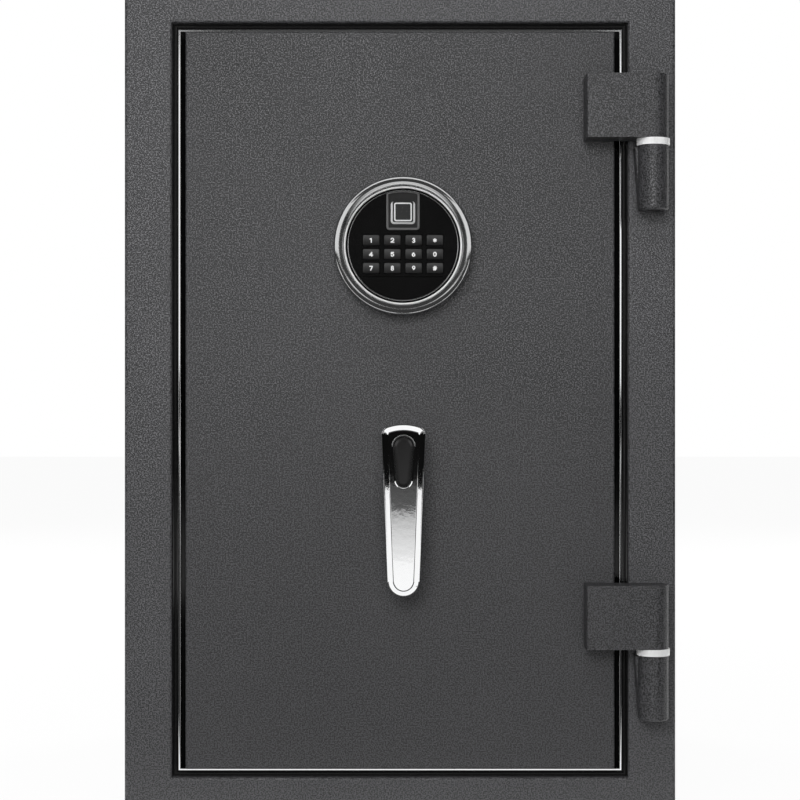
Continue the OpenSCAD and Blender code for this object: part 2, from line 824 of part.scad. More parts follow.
module inner_panel() {
    corner = 5;
    lug_x = box_w / 2 + lid_lap + slide_gap;
    color(plastic_grey) difference() {
        union() {
            slab(pan_d, door_d) at_mid() rounded_rect(cover_w, cover_h, corner);
            for (s = [-1, 1])
                translate([battery_x + s * (lug_x + lug_w / 2), y_at(lid_axis_d) - over / 2, lid_axis_z])
                    cube([lug_w, 2 * (lid_axis_d - door_d) + over, lug_t], center = true);
        }
        slab(pan_d - over, door_d - pan_t) at_mid()
            rounded_rect(cover_w - 2 * pan_t, cover_h - 2 * pan_t, corner - pan_t);
        for (z = bolt_zs) {
            bar_x(bolt_r + 0.6, bolt_d, z, -cover_w / 2 - over, -cover_w / 2 + pan_t + over);
            bar_x(dog_r + 0.6, bolt_d, z, cover_w / 2 - pan_t - over, cover_w / 2 + over);
        }
        slab(door_d - pan_t - over, door_d + over) translate([battery_x, battery_z])
            square([box_w, box_h], center = true);
        bar_y(button_r + slide_gap, button_x, battery_z, door_d - pan_t - over, door_d + over);
        for (p = pillars) bar_y(screw_r + 0.2, p[0], p[1], door_d - pan_t - over, door_d + over);
        bar_x(trunnion_r + run_gap, lid_axis_d, lid_axis_z, battery_x - lug_x - lug_w - over,
            battery_x + lug_x + lug_w + over);
    }
}

module panel_screws() {
    color(bright_steel) for (p = pillars) difference() {
        union() {
            bar_y(screw_head_r, p[0], p[1], door_d, door_d + 2);
            bar_y(screw_r, p[0], p[1], door_d - screw_l, door_d + over);
        }
        for (a = [0, 90]) translate([p[0], y_at(door_d + 2), p[1]]) rotate([0, a, 0])
            cube([4, 1.6, 1], center = true);
    }
}

module dog_bolts() {
    chamfer = 1;
    color(bright_steel) {
        translate([dog_bar_x, y_at(pan_d), mid_z - bar_half])
            cube([dog_bar_w, bolt_d + dog_r - pan_d, 2 * bar_half]);
        for (z = bolt_zs) {
            bar_x(dog_r, bolt_d, z, dog_bar_x + dog_bar_w, dog_tip_x - chamfer);
            translate([dog_tip_x - chamfer, y_at(bolt_d), z]) rotate([0, 90, 0])
                cylinder(r1 = dog_r, r2 = dog_r - chamfer, h = chamfer);
        }
    }
}

module bolt_guides() {
    foot_w = guide_t + 9;
    high = bolt_d + bolt_r + 1.5 - pan_d;
    color(zinc) {
        difference() {
            translate([guide_x, y_at(pan_d), mid_z - bar_half]) {
                cube([guide_t, high, 2 * bar_half]);
                cube([foot_w, bar_foot, 2 * bar_half]);
            }
            for (z = bolt_zs) bar_x(bolt_r + run_gap, bolt_d, z, guide_x - over, guide_x + foot_w + over);
        }
        for (x = studs_x) {
            bar_y(stud_r, x, handle_z, pan_d, arm_back + slide_gap);
            bar_y(stud_head_r, x, handle_z, arm_back + slide_gap, arm_back + 2.5);
        }
    }
}

module bolt_bar() {
    slot_r = stud_r + slide_gap;
    slot_x = [studs_x[0], studs_x[1] + bolt_throw];
    color(zinc) difference() {
        union() {
            translate([bar_x, y_at(bolt_d - bar_wide / 2), mid_z - bar_half])
                cube([bar_t, bar_wide, 2 * bar_half]);
            translate([bar_x + bar_t, y_at(arm_d), handle_z - arm_w / 2])
                cube([arm_end_x - bar_x - bar_t, arm_t, arm_w]);
            bar_y(follower_r, handle_x - track_r, handle_z, cam_d + slide_gap, arm_d + over);
        }
        // Slot along the arm for the guide studs
        slab(arm_d - over, arm_back + over) translate([0, handle_z]) {
            translate([slot_x[0], -slot_r]) square([slot_x[1] - slot_x[0], 2 * slot_r]);
            for (x = slot_x) translate([x, 0]) circle(slot_r);
        }
    }
}

module locking_bolts() {
    tip = 1.2;
    color(bright_steel) for (z = bolt_zs) {
        bar_x(bolt_r, bolt_d, z, bolt_tip_x + tip, bar_x);
        translate([bolt_tip_x, y_at(bolt_d), z]) rotate([0, 90, 0])
            cylinder(r1 = bolt_r - tip, r2 = bolt_r, h = tip);
    }
}

module cam_disc() {
    gap = 0.15;
    steps = 24;
    half = follower_r + gap;
    turns = [for (i = [0 : steps]) handle_angle * i / steps];
    color(bright_steel) difference() {
        union() {
            bar_y(cam_r, handle_x, handle_z, cam_d, cam_d + cam_t);
            bar_y(cam_boss_r, handle_x, handle_z, cam_d - cam_boss_t, cam_d);
        }
        slab(cam_d - over, cam_d + cam_t + over) translate([handle_x, handle_z]) {
            // Spiral track, in which the follower moves by an even amount for each degree of turn
            polygon(concat(
                [for (a = turns) track_point(a) + half * track_across(a)],
                track_end(handle_angle, half, 1),
                [for (a = turns) let (b = handle_angle - a) track_point(b) - half * track_across(b)],
                track_end(0, half, -1)
            ));
            square([square_af, square_af], center = true);
            // Notches for the plunger at both ends of the handle's turn
            for (a = [0, handle_angle]) rotate(a) translate([cam_r - notch_deep, -notch_w / 2])
                square([notch_deep + over, notch_w]);
            // Openings that lighten the disc
            for (a = [45, 135]) rotate(a) translate([cam_r * 0.6, 0]) circle(cam_r / 6);
        }
    }
}

module handle_spindle() {
    color(bright_steel) {
        bar_y(spindle_r, handle_x, handle_z, spindle_front, cam_d - cam_boss_t);
        slab(cam_d - cam_boss_t, square_end) translate([handle_x, handle_z])
            square([square_af, square_af], center = true);
    }
}

// One bush in the front plate, and one with a flange in the door pan
module spindle_bushes() {
    bush_l = 8;
    flange_t = 1.5;
    color("goldenrod") difference() {
        union() {
            bar_y(spindle_r + 2, handle_x, handle_z, 0, bush_l);
            bar_y(spindle_r + 2, handle_x, handle_z, pan_d - bush_l, pan_d + flange_t);
            bar_y(spindle_r + 5, handle_x, handle_z, pan_d, pan_d + flange_t);
        }
        bar_y(spindle_r + run_gap, handle_x, handle_z, -over, pan_d + flange_t + over);
    }
}

module handle_lever() {
    shoulder = 3;
    rim = 0.1;
    color(bright_steel) difference() {
        union() {
            bar_y(hub_r, handle_x, handle_z, lever_back, -hub_front_gap);
            slab(lever_front + shoulder, lever_back)
                translate([handle_x, handle_z]) polygon(lever_outline(0));
            hull() {
                slab(lever_front + shoulder, lever_front + shoulder + rim)
                    translate([handle_x, handle_z]) polygon(lever_outline(rim));
                slab(lever_front, lever_front + rim)
                    translate([handle_x, handle_z]) polygon(lever_outline(lever_bevel));
            }
        }
        slab(lever_front - over, cap_floor) translate([handle_x, handle_z])
            egg(cap_top_r + slide_gap, cap_low_r + slide_gap, cap_h + 2 * slide_gap);
        bar_y(cylinder_r, handle_x, handle_z, cap_floor - over, cylinder_back);
        bar_y(spindle_r, handle_x, handle_z, spindle_front, over);
    }
}

module lock_cylinder() {
    color("darkkhaki") difference() {
        bar_y(cylinder_r, handle_x, handle_z, cylinder_front, cylinder_back);
        bar_y(plug_r + run_gap, handle_x, handle_z, cap_floor, plug_back);
    }
}

module key_plug() {
    keyway = [1.6, 6];
    color("goldenrod") difference() {
        bar_y(plug_r, handle_x, handle_z, cylinder_front, plug_back - run_gap);
        slab(cap_floor, plug_back - 2) translate([handle_x, handle_z]) square(keyway, center = true);
    }
}

module keyhole_cap() {
    bevel = 2.2;
    flat = 1.2;
    skin = 0.1;
    color(gloss_black) translate([0, -slide_gap, 0]) {
        slab(lever_front + flat, cap_floor) translate([handle_x, handle_z]) egg(cap_top_r, cap_low_r, cap_h);
        hull() {
            slab(lever_front + flat, lever_front + flat + skin) translate([handle_x, handle_z])
                egg(cap_top_r - skin, cap_low_r - skin, cap_h - 2 * skin, $fn = 40);
            slab(lever_front, lever_front + skin) translate([handle_x, handle_z])
                egg(cap_top_r - bevel, cap_low_r - bevel, cap_h - 2 * bevel, $fn = 40);
        }
    }
}

// Turns a section about the keypad's axis. In the section, x is the radius and y the height.
module pad_turned() {
    translate([pad_x, y_at(0), pad_z]) rotate([90, 0, 0]) rotate_extrude($fn = pad_fn) children();
}

module at_pad() {
    translate([pad_x, pad_z]) children();
}

module at_key(col, row) {
    translate([pad_x + (col - 1.5) * key_pitch_x, pad_z + key_rise - row * key_pitch_z]) children();
}

module at_window() {
    translate([pad_x, pad_z + sensor_mid]) children();
}

// Pivot of the power flap, grown by a gap round it and an end gap
module flap_pin(gap, end) {
    reach = flap_half + trunnion_l + end;
    bar_x(trunnion_r + gap, -flap_axis_h, flap_axis_z, pad_x - reach, pad_x + reach);
}

// Front view of the sensor's channel, open to the top of the face and grown by a gap
module sensor_outline(gap, corner) {
    w = sensor_w + 2 * gap;
    translate([pad_x, pad_z + sensor_low - gap]) {
        translate([-w / 2, corner]) square([w, face_r]);
        translate([-w / 2 + corner, 0]) square([w - 2 * corner, corner + 1]);
        for (s = [-1, 1]) translate([s * (w / 2 - corner), corner]) circle(corner);
    }
}

module keypad_ring() {
    crown = ring_w / 2;
    color(dark_chrome) pad_turned() {
        translate([ring_r - ring_w, 0]) square([ring_w, ring_h - crown]);
        translate([ring_r - crown, ring_h - crown]) circle(crown);
    }
}

module keypad_inner_ring() {
    step_h = face_h + 0.2;
    color(bright_steel) difference() {
        pad_turned() {
            translate([inner_ring_r - 2 * lip_r, housing_h]) square([2 * lip_r, inner_ring_h - housing_h]);
            translate([inner_ring_r - lip_r, inner_ring_h]) circle(lip_r);
            translate([face_r, housing_h]) square([inner_ring_r - lip_r - face_r, step_h - housing_h]);
        }
        flap_pin(run_gap, 0.5);
    }
}

module keypad_face() {
    color(gloss_black) difference() {
        stand(face_h - face_t, face_h) at_pad() circle(face_r, $fn = pad_fn);
        stand(face_h - face_t - over, face_h + over) {
            for (col = [0 : 3]) for (row = [0 : 2]) at_key(col, row)
                rounded_rect(key_w + 2 * key_gap, key_h + 2 * key_gap, key_corner_r + key_gap);
            sensor_outline(face_gap, sensor_corner_r);
            // Space of the power flap
            translate([pad_x - flap_half - slide_gap, pad_z - face_r - over])
                square([2 * (flap_half + slide_gap), face_r + over - seam_drop]);
        }
        flap_pin(run_gap, 0.5);
    }
}

module sensor_surround() {
    floor_h = face_h - 1.2;
    rim_h = face_h + 0.4;
    top_h = face_h + 0.3;
    skin = 0.1;
    color(plastic_grey) difference() {
        intersection() {
            stand(face_h - face_t, rim_h) sensor_outline(0, sensor_corner_r);
            stand(face_h - face_t, rim_h) at_pad() circle(face_r - face_gap, $fn = pad_fn);
        }
        difference() {
            stand(floor_h, rim_h + over) sensor_outline(-sensor_rim, sensor_corner_r - sensor_rim);
            // Sloping frame round the window
            hull() {
                stand(floor_h - skin, floor_h) at_window()
                    rounded_rect(window_w + 6.2, window_h + 5, 2.5, $fn = 32);
                stand(top_h - skin, top_h) at_window()
                    rounded_rect(window_w + 1.8, window_h + 1.8, 1.5, $fn = 32);
            }
        }
        stand(window_low, rim_h + over) at_window() rounded_rect(window_w, window_h, 1);
    }
}

module sensor_window() {
    color([0.12, 0.12, 0.13]) stand(window_low, face_h - 0.2) at_window() rounded_rect(window_w, window_h, 1);
}

module keypad_housing() {
    post_x = 26;
    color(plastic_grey) {
        difference() {
            union() {
                stand(0, housing_h) at_pad() circle(inner_ring_r, $fn = pad_fn);
                // Ledge that carries the face
                stand(0, face_h - face_t) at_pad() circle(face_r - face_gap, $fn = pad_fn);
            }
            stand(housing_t, face_h + over) at_pad() circle(bore_r, $fn = pad_fn);
            stand(-over, housing_t + over) at_pad() circle(cable_r);
        }
        for (s = [-1, 1]) stand(housing_t, board_h) at_pad() translate([s * post_x, 0]) circle(3);
    }
}

module circuit_board() {
    color("darkgreen") stand(board_h, board_h + board_t) at_pad()
        rounded_rect(board_w, board_tall, board_corner_r);
}

// Two studs behind the power flap
module power_contacts() {
    color("goldenrod") for (s = [-1, 1])
        stand(housing_t, housing_h) translate([pad_x + s * contact_pitch / 2, pad_z - contact_drop])
            circle(contact_r);
}

// One key: the cap, a flange that stays behind the face, and the stem that meets the switch
module key(col, row) {
    bevel = 0.7;
    skin = 0.1;
    neck_h = key_flange_h + key_flange_t;
    color([0.2, 0.2, 0.21]) {
        stand(key_bottom, key_flange_h) at_key(col, row) circle(key_stem_r);
        stand(key_flange_h, neck_h) at_key(col, row)
            rounded_rect(key_w + 2 * key_flange, key_h + 2 * key_flange, key_corner_r + 0.3);
        stand(neck_h, face_h) at_key(col, row) rounded_rect(key_w, key_h, key_corner_r);
        hull() {
            stand(face_h, face_h + skin) at_key(col, row) rounded_rect(key_w, key_h, key_corner_r, $fn = 24);
            stand(face_h + key_proud - skin, face_h + key_proud) at_key(col, row)
                rounded_rect(key_w - 2 * bevel, key_h - 2 * bevel, key_corner_r - 0.3, $fn = 24);
        }
    }
}

module power_flap() {
    skirt_gap = 0.4;
    color(gloss_black) {
        intersection() {
            stand(face_h - flap_t, face_h) at_pad() circle(face_r - skirt_gap, $fn = pad_fn);
            stand(face_h - flap_t, face_h) translate([pad_x - flap_half, pad_z - face_r])
                square([2 * flap_half, face_r - flap_drop]);
        }
        bar_x(flap_t / 2, -flap_axis_h, flap_axis_z, pad_x - flap_half, pad_x + flap_half);
        flap_pin(0, 0);
    }
}

module lock_solenoid() {
    low = handle_z - solenoid_h / 2;
    color(zinc) difference() {
        union() {
            translate([solenoid_x, y_at(pan_d), low]) cube([solenoid_l, solenoid_deep, solenoid_h]);
            translate([solenoid_x, y_at(pan_d), low - solenoid_foot])
                cube([solenoid_l, bar_foot, solenoid_h + 2 * solenoid_foot]);
        }
        bar_x(plunger_r + run_gap, plunger_d, handle_z, solenoid_x - over, solenoid_x + solenoid_l + over);
    }
}

module solenoid_plunger() {
    color(bright_steel)
        bar_x(plunger_r, plunger_d, handle_z, handle_x + cam_r + slide_gap, solenoid_x + solenoid_l);
}

module battery_box() {
    color(plastic_grey) difference() {
        union() {
            slab(box_d, door_d - pan_t) translate([battery_x, battery_z])
                square([box_w + 2 * box_t, box_h + 2 * box_t], center = true);
            slab(door_d - 2 * pan_t, door_d - pan_t) translate([battery_x, battery_z])
                square([box_w + 2 * box_flange, box_h + 2 * box_flange], center = true);
        }
        slab(box_d + box_t, door_d) translate([battery_x, battery_z]) square([box_w, box_h], center = true);
    }
}

module batteries() {
    tip_r = 2.7;
    tip_l = 1.5;
    color("dimgray") for (i = [0 : 3]) {
        x = battery_x + (i - 1.5) * battery_pitch;
        translate([x, y_at(box_d + box_t + battery_r), battery_z - battery_len / 2]) {
            cylinder(r = battery_r, h = battery_len - tip_l);
            translate([0, 0, battery_len - tip_l]) cylinder(r = tip_r, h = tip_l);
        }
    }
}

module battery_cover() {
    half = box_w / 2 + lid_lap;
    low = battery_z - box_h / 2 - lid_lap;
    color(plastic_grey) {
        slab(door_d + slide_gap, door_d + slide_gap + lid_t) translate([battery_x - half, low])
            square([2 * half, lid_axis_z - low]);
        bar_x(lid_t / 2, lid_axis_d, lid_axis_z, battery_x - half, battery_x + half);
        bar_x(trunnion_r, lid_axis_d, lid_axis_z, battery_x - half - lug_w, battery_x + half + lug_w);
    }
}

module reset_button() {
    flange_t = 1.4;
    stem_l = 4;
    inner = door_d - pan_t;
    color("firebrick") {
        bar_y(button_r, button_x, battery_z, inner - stem_l, door_d + button_proud);
        bar_y(button_r + 1.5, button_x, battery_z, inner - slide_gap - flange_t, inner - slide_gap);
    }
}

outer_shell();
back_panel();
cabinet_insulation();
inner_liner();
door_jamb();
door_frame_trim();
strike_plates();
hinge_barrel_upper();
hinge_barrel_lower();
hinge_pins();
hinge_washers();
shelf_supports();
shelf();
door_skin();
door_edge_frame();
door_pan();
door_insulation();
door_seal();
inner_panel();
hinge_leaf_upper();
hinge_leaf_lower();
dog_bolts();
bolt_guides();
spindle_bushes();
keypad_ring();
keypad_inner_ring();
keypad_face();
keypad_housing();
circuit_board();
sensor_surround();
sensor_window();
power_contacts();
lock_solenoid();
battery_box();
batteries();
panel_screws();
handle_lever();
handle_spindle();
lock_cylinder();
cam_disc();
key_plug();
keyhole_cap();
bolt_bar();
locking_bolts();
key(0, 0);  // key_1
key(1, 0);  // key_2
key(2, 0);  // key_3
key(3, 0);  // key_star
key(0, 1);  // key_4
key(1, 1);  // key_5
key(2, 1);  // key_6
key(3, 1);  // key_0
key(0, 2);  // key_7
key(1, 2);  // key_8
key(2, 2);  // key_9
key(3, 2);  // key_hash
power_flap();
solenoid_plunger();
reset_button();
battery_cover();
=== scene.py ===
import json
import math

import bmesh
import bpy
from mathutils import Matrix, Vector


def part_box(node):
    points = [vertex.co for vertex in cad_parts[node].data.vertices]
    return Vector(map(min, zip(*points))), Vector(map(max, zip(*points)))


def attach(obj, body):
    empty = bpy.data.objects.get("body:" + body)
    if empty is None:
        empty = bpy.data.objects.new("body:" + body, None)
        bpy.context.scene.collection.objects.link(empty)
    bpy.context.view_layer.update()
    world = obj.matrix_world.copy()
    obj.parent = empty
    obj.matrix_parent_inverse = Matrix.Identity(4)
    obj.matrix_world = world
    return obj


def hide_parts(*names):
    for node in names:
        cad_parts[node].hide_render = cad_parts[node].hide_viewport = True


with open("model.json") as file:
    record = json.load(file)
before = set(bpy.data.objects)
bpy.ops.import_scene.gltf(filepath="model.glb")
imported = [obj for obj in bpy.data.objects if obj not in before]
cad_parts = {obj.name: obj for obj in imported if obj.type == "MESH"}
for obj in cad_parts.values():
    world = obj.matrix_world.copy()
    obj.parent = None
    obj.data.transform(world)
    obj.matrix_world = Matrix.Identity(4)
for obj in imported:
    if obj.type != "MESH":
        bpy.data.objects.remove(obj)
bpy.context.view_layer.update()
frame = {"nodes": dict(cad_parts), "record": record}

# Sizes and places are in millimetres, apart from those of the studio and the textures, in metres.
# A height is a distance in front of the door. A place is x from the middle and z from the base.
MM = 0.001
# The safe lies evenly about the frame's origin, so its front is as far out as its back
FRONT = -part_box("back_panel")[1].y
# The safe and its opening have their middle at this height
MID_Z = 335.0

# Centre of the keypad, and its keys and their signs
PAD = (2.3, 454.2)
KEY_W, KEY_H, KEY_CORNER_R, KEY_TOP = 12.6, 8.35, 1.1, 15.86
KEY_PITCH_X, KEY_PITCH_Z = 16.4, 10.75
# The upper row of keys lies this far above the keypad's centre
KEY_RISE = 3.95
SIGN_STROKE, SIGN_BACK, SIGN_TOP = 0.86, 15.3, 15.89

# The sensor's middle above the keypad's centre, and the dark deck round its window
SENSOR_UP = 25.9
DECK_W, DECK_H = 16.1, 16.3
# The sensor's channel runs from above the keypad's centre to the edge of the face
CHANNEL_LOW, CHANNEL_REACH = 12.0, 41.95
CHANNEL_HALF, CHANNEL_CORNER_R = 12.85, 2.5

# Axis of the handle, its lever, and the cap over the keyhole
HANDLE = (2.7, 287.7)
LEVER_TOP_W, LEVER_TIP_W = 33.4, 24.8
LEVER_UP, LEVER_DOWN = 29.0, 103.0
LEVER_BACK, LEVER_FRONT = 20.0, 35.0
LEVER_CROWN, LEVER_CORNER_R = 8.2, 6.5
CAP_TOP_R, CAP_LOW_R, CAP_H = 7.2, 5.3, 37.8

# Half of the opening, and how far the moulding's shoulder reaches into it
OPEN_HALF_W, OPEN_HALF_H = 178.0, 294.5
SHOULDER_SIDES, SHOULDER_ENDS = 17.0, 13.5


# Shader nodes

class Wire:
    """A shader socket. Arithmetic on it adds Math nodes."""

    def __init__(self, nodes, socket):
        self.nodes = nodes
        self.socket = socket

    def __add__(self, other):
        return self.nodes.math("ADD", self, other)

    __radd__ = __add__

    def __sub__(self, other):
        return self.nodes.math("SUBTRACT", self, other)

    def __rsub__(self, other):
        return self.nodes.math("SUBTRACT", other, self)

    def __mul__(self, other):
        return self.nodes.math("MULTIPLY", self, other)

    __rmul__ = __mul__

    def most(self, other):
        return self.nodes.math("MAXIMUM", self, other)

    def between(self, low, high):
        """0 below low, 1 above high, and a soft step between them."""
        return self.nodes.add(
            "ShaderNodeMapRange", {"interpolation_type": "SMOOTHSTEP"},
            {"Value": self, "From Min": low, "From Max": high},
        )


class Nodes:
    """The node tree of a material or of the world."""

    def __init__(self, owner):
        owner.use_nodes = True
        self.tree = owner.node_tree

    def add(self, kind, settings=None, sockets=None, out=0):
        """Adds one node: its settings first, then the values and links of its sockets."""
        node = self.tree.nodes.new(kind)
        for name, value in (settings or {}).items():
            setattr(node, name, value)
        for key, value in (sockets or {}).items():
            self.fill(node.inputs[key], value)
        return Wire(self, node.outputs[out])

    def fill(self, socket, value):
        """Links the socket to a wire, or gives it a plain value."""
        if isinstance(value, Wire):
            self.tree.links.new(value.socket, socket)
        else:
            socket.default_value = value

    def math(self, operation, *values):
        return self.add("ShaderNodeMath", {"operation": operation}, dict(enumerate(values)))

    def seen(self):
        """1 for what camera, gloss and glass see, and 0 for the light that falls on the object."""
        camera = self.add("ShaderNodeLightPath", out="Is Camera Ray")
        gloss = self.add("ShaderNodeLightPath", out="Is Glossy Ray")
        glass = self.add("ShaderNodeLightPath", out="Is Transmission Ray")
        return camera.most(gloss).most(glass)


FINISHES = {}


class Finish(Nodes):
    """A material with its Principled shader. FINISHES keeps it under its name."""

    def __init__(self, name, **constants):
        self.material = FINISHES[name] = bpy.data.materials.new(name)
        super().__init__(self.material)
        self.shader = self.tree.nodes["Principled BSDF"]
        for socket, value in constants.items():
            self.shader.inputs[socket.replace("_", " ")].default_value = value
        self.place = None

    def where(self):
        """Place on the piece."""
        if self.place is None:
            self.place = self.add("ShaderNodeTexCoord", out="Object")
        return self.place

    def stretched(self, x, y, z):
        return self.add(
            "ShaderNodeVectorMath", {"operation": "MULTIPLY"}, {0: self.where(), 1: (x, y, z)}
        )

    def along(self, axis):
        return self.add("ShaderNodeSeparateXYZ", None, {0: self.where()}, out=axis)

    def noise(self, scale, detail, rough=0.55, place=None):
        return self.add(
            "ShaderNodeTexNoise", None,
            {"Vector": place or self.where(), "Scale": scale, "Detail": detail, "Roughness": rough},
        )

    def cells(self, scale, feature):
        return self.add(
            "ShaderNodeTexVoronoi", {"feature": feature}, {"Vector": self.where(), "Scale": scale}
        )

    def mixed(self, factor, first, second):
        """Colour between two."""
        # A Mix node takes colours at its sockets 6 and 7, and gives one at 2
        return self.add(
            "ShaderNodeMix", {"data_type": "RGBA"}, {0: factor, 6: (*first, 1), 7: (*second, 1)}, out=2
        )

    def glow(self, colour):
        return self.add("ShaderNodeEmission", None, {"Color": colour, "Strength": 1.0})

    def feed(self, socket, wire):
        self.fill(self.shader.inputs[socket], wire)

    def bump(self, height, distance):
        """Raises the surface by the wire's height times distance."""
        self.feed("Normal", self.add("ShaderNodeBump", None, {"Height": height, "Distance": distance}))

    def show(self, shader):
        """Puts another shader on the surface in place of the Principled one."""
        self.fill(self.tree.nodes["Material Output"].inputs["Surface"], shader)


# Finishes of the safe

def grey(level, warm=0.0):
    return (level * (1 + warm), level, level * (1 - warm))


def powder_coat(name, painted_light_lift):
    """Charcoal powder coat with a fine sandy grain. A higher lift is a paler coat, and a paler copy of
    the same coat is painted light.
    """
    f = Finish(name, Specular_IOR_Level=0.6)
    grain = f.noise(scale=930, detail=2, rough=0.6).between(0.42, 0.58)
    fine = f.noise(scale=2300, detail=1, rough=0.5)
    broad = f.noise(scale=5, detail=3, rough=0.5)
    f.bump(grain * 0.75 + fine * 0.25, distance=0.00016)
    shade = grain * 0.7 + fine * 0.2 + broad * 0.2 - 0.06
    # A lift above 1 makes the coat paler, which is painted light.
    pit, peak = grey(0.002), (0.066 * painted_light_lift, 0.066 * painted_light_lift, 0.07 * painted_light_lift)
    f.feed("Base Color", f.mixed(shade, pit, peak))
    f.feed("Roughness", 0.48 - grain * 0.12)


def gloss_black(name, level, rough):
    """Black moulding or glass with a faint haze of handling."""
    f = Finish(name, Specular_IOR_Level=0.5)
    haze = f.noise(scale=60, detail=4, rough=0.6)
    f.feed("Base Color", f.mixed(haze, grey(level * 0.7), grey(level * 1.4)))
    f.feed("Roughness", haze * 0.05 + rough)
    f.bump(f.noise(scale=900, detail=2), distance=0.000004)


def chrome(name, level, rough):
    """Plated metal. Smudges change its roughness."""
    f = Finish(name, Metallic=1.0)
    smudge = f.noise(scale=90, detail=4, rough=0.6)
    f.feed("Base Color", f.mixed(smudge, grey(level * 0.94, warm=-0.004), grey(level, warm=-0.004)))
    f.feed("Roughness", smudge * rough * 0.6 + rough * 0.7)
    f.bump(f.noise(scale=260, detail=3, rough=0.5) * 0.5, distance=0.00002)


def steel(name, level, rough, warm=0.0):
    """Bare or plated steel with level drawing lines and light stains."""
    f = Finish(name, Metallic=1.0)
    lines = f.noise(scale=1, detail=3, rough=0.6, place=f.stretched(60, 60, 1800))
    stain = f.noise(scale=24, detail=4, rough=0.6)
    low, high = grey(level * 0.8, warm), grey(level * 1.12, warm)
    f.feed("Base Color", f.mixed(lines * 0.5 + stain * 0.5, low, high))
    f.feed("Roughness", stain * 0.18 + rough)
    f.bump(lines, distance=0.00003)


def bright_zinc(name, metallic):
    """Bright zinc on a pressed washer or bezel, with faint upright rolling marks."""
    f = Finish(name, Metallic=metallic)
    marks = f.noise(scale=1, detail=3, rough=0.6, place=f.stretched(500, 500, 90))
    f.feed("Base Color", f.mixed(marks, grey(0.80), grey(0.97)))
    f.feed("Roughness", marks * 0.15 + 0.3)
    f.bump(marks, distance=0.00002)


def painted(name, colour, rough, scale, depth):
    """Satin paint or moulded plastic with an even fine grain."""
    f = Finish(name)
    grain = f.noise(scale=scale, detail=3)
    broad = f.noise(scale=9, detail=3, rough=0.5)
    low = tuple(c * 0.86 for c in colour)
    high = tuple(c * 1.1 for c in colour)
    f.feed("Base Color", f.mixed(broad * 0.6 + grain * 0.4, low, high))
    f.feed("Roughness", grain * 0.14 + rough)
    f.bump(grain, distance=depth)


def key_plastic():
    """Dark key plastic with a fine grain, and painted light: each row of keys grows paler towards its
    upper edge.
    """
    f = Finish("key_plastic")
    grain = f.noise(scale=1400, detail=3)
    rows = (f.along("Z") - (PAD[1] + KEY_RISE) * MM) * (1 / (KEY_PITCH_Z * MM))
    # Painted light: the colour grows paler up each key, in place of the light on its top.
    painted_light_up_the_key = f.math("FRACT", rows + 0.5)
    shade = painted_light_up_the_key.between(0.1, 0.95) + (grain - 0.5) * 0.2
    f.feed("Base Color", f.mixed(shade, grey(0.006), grey(0.055)))
    f.feed("Roughness", grain * 0.14 + 0.3)
    f.bump(grain, distance=0.00003)


def cast_filling():
    """Light cement filling with fine grit and small air holes."""
    f = Finish("fire_filling", Roughness=0.95)
    grit = f.noise(scale=420, detail=5, rough=0.65)
    holes = f.cells(160, "F1").between(0.12, 0.3)
    f.feed("Base Color", f.mixed(grit, (0.42, 0.40, 0.36), (0.72, 0.69, 0.64)))
    f.bump(grit * 0.4 + holes * 0.6, distance=0.0008)


def circuit():
    """Green board with darker cells between paler tracks."""
    f = Finish("board_green", Roughness=0.4)
    cell = f.cells(260, "DISTANCE_TO_EDGE").between(0.05, 0.09)
    f.feed("Base Color", f.mixed(cell, (0.05, 0.30, 0.10), (0.015, 0.11, 0.04)))
    f.bump(cell, distance=0.00005)


def battery_sleeve():
    """Dark printed sleeve with a copper-coloured upper band."""
    f = Finish("battery_wrap", Metallic=0.6)
    band_z, edge = 0.1375, 0.0003
    band = f.along("Z").between(band_z, band_z + edge)
    scratch = f.noise(scale=300, detail=3, rough=0.6)
    f.feed("Base Color", f.mixed(band, grey(0.02), (0.62, 0.33, 0.12)))
    f.feed("Roughness", scratch * 0.15 + 0.25)


def finishes():
    powder_coat("powder_coat", painted_light_lift=1.0)
    # Paler copy of the coat for the outer shell: painted light
    powder_coat("powder_coat_painted_paler", painted_light_lift=1.4)
    gloss_black("frame_black", level=0.005, rough=0.06)
    gloss_black("face_black", level=0.004, rough=0.03)
    chrome("polished_chrome", level=0.98, rough=0.035)
    chrome("satin_chrome", level=0.64, rough=0.14)
    chrome("bead_chrome", level=0.92, rough=0.1)
    steel("bright_steel", level=0.78, rough=0.18)
    steel("zinc_steel", level=0.60, rough=0.30)
    steel("brass", level=0.5, rough=0.25, warm=0.35)
    bright_zinc("washer_steel", metallic=0.12)
    bright_zinc("bezel_bright", metallic=0.4)
    bright_zinc("lip_bright", metallic=0.1)
    bright_zinc("slope_metal", metallic=0.4)
    painted("liner_paint", grey(0.16), rough=0.45, scale=700, depth=0.0002)
    painted("panel_plastic", grey(0.035), rough=0.5, scale=1100, depth=0.00015)
    painted("housing_plastic", grey(0.02), rough=0.45, scale=900, depth=0.00012)
    painted("seal_rubber", grey(0.02), rough=0.7, scale=600, depth=0.0001)
    painted("red_plastic", (0.5, 0.02, 0.02), rough=0.3, scale=800, depth=0.00002)
    painted("cap_plastic", grey(0.015), rough=0.16, scale=1400, depth=0.00001)
    # Paler grey of the sensor's rim: a painted highlight on the same plastic as the channel
    painted("sensor_rim", grey(0.11), rough=0.3, scale=500, depth=0.00001)
    painted("sensor_frame", grey(0.019), rough=0.3, scale=500, depth=0.00001)
    painted("sensor_glass", grey(0.032), rough=0.18, scale=500, depth=0.00001)
    painted("numeral_white", grey(0.82), rough=0.4, scale=1500, depth=0.00001)
    key_plastic()
    cast_filling()
    circuit()
    battery_sleeve()


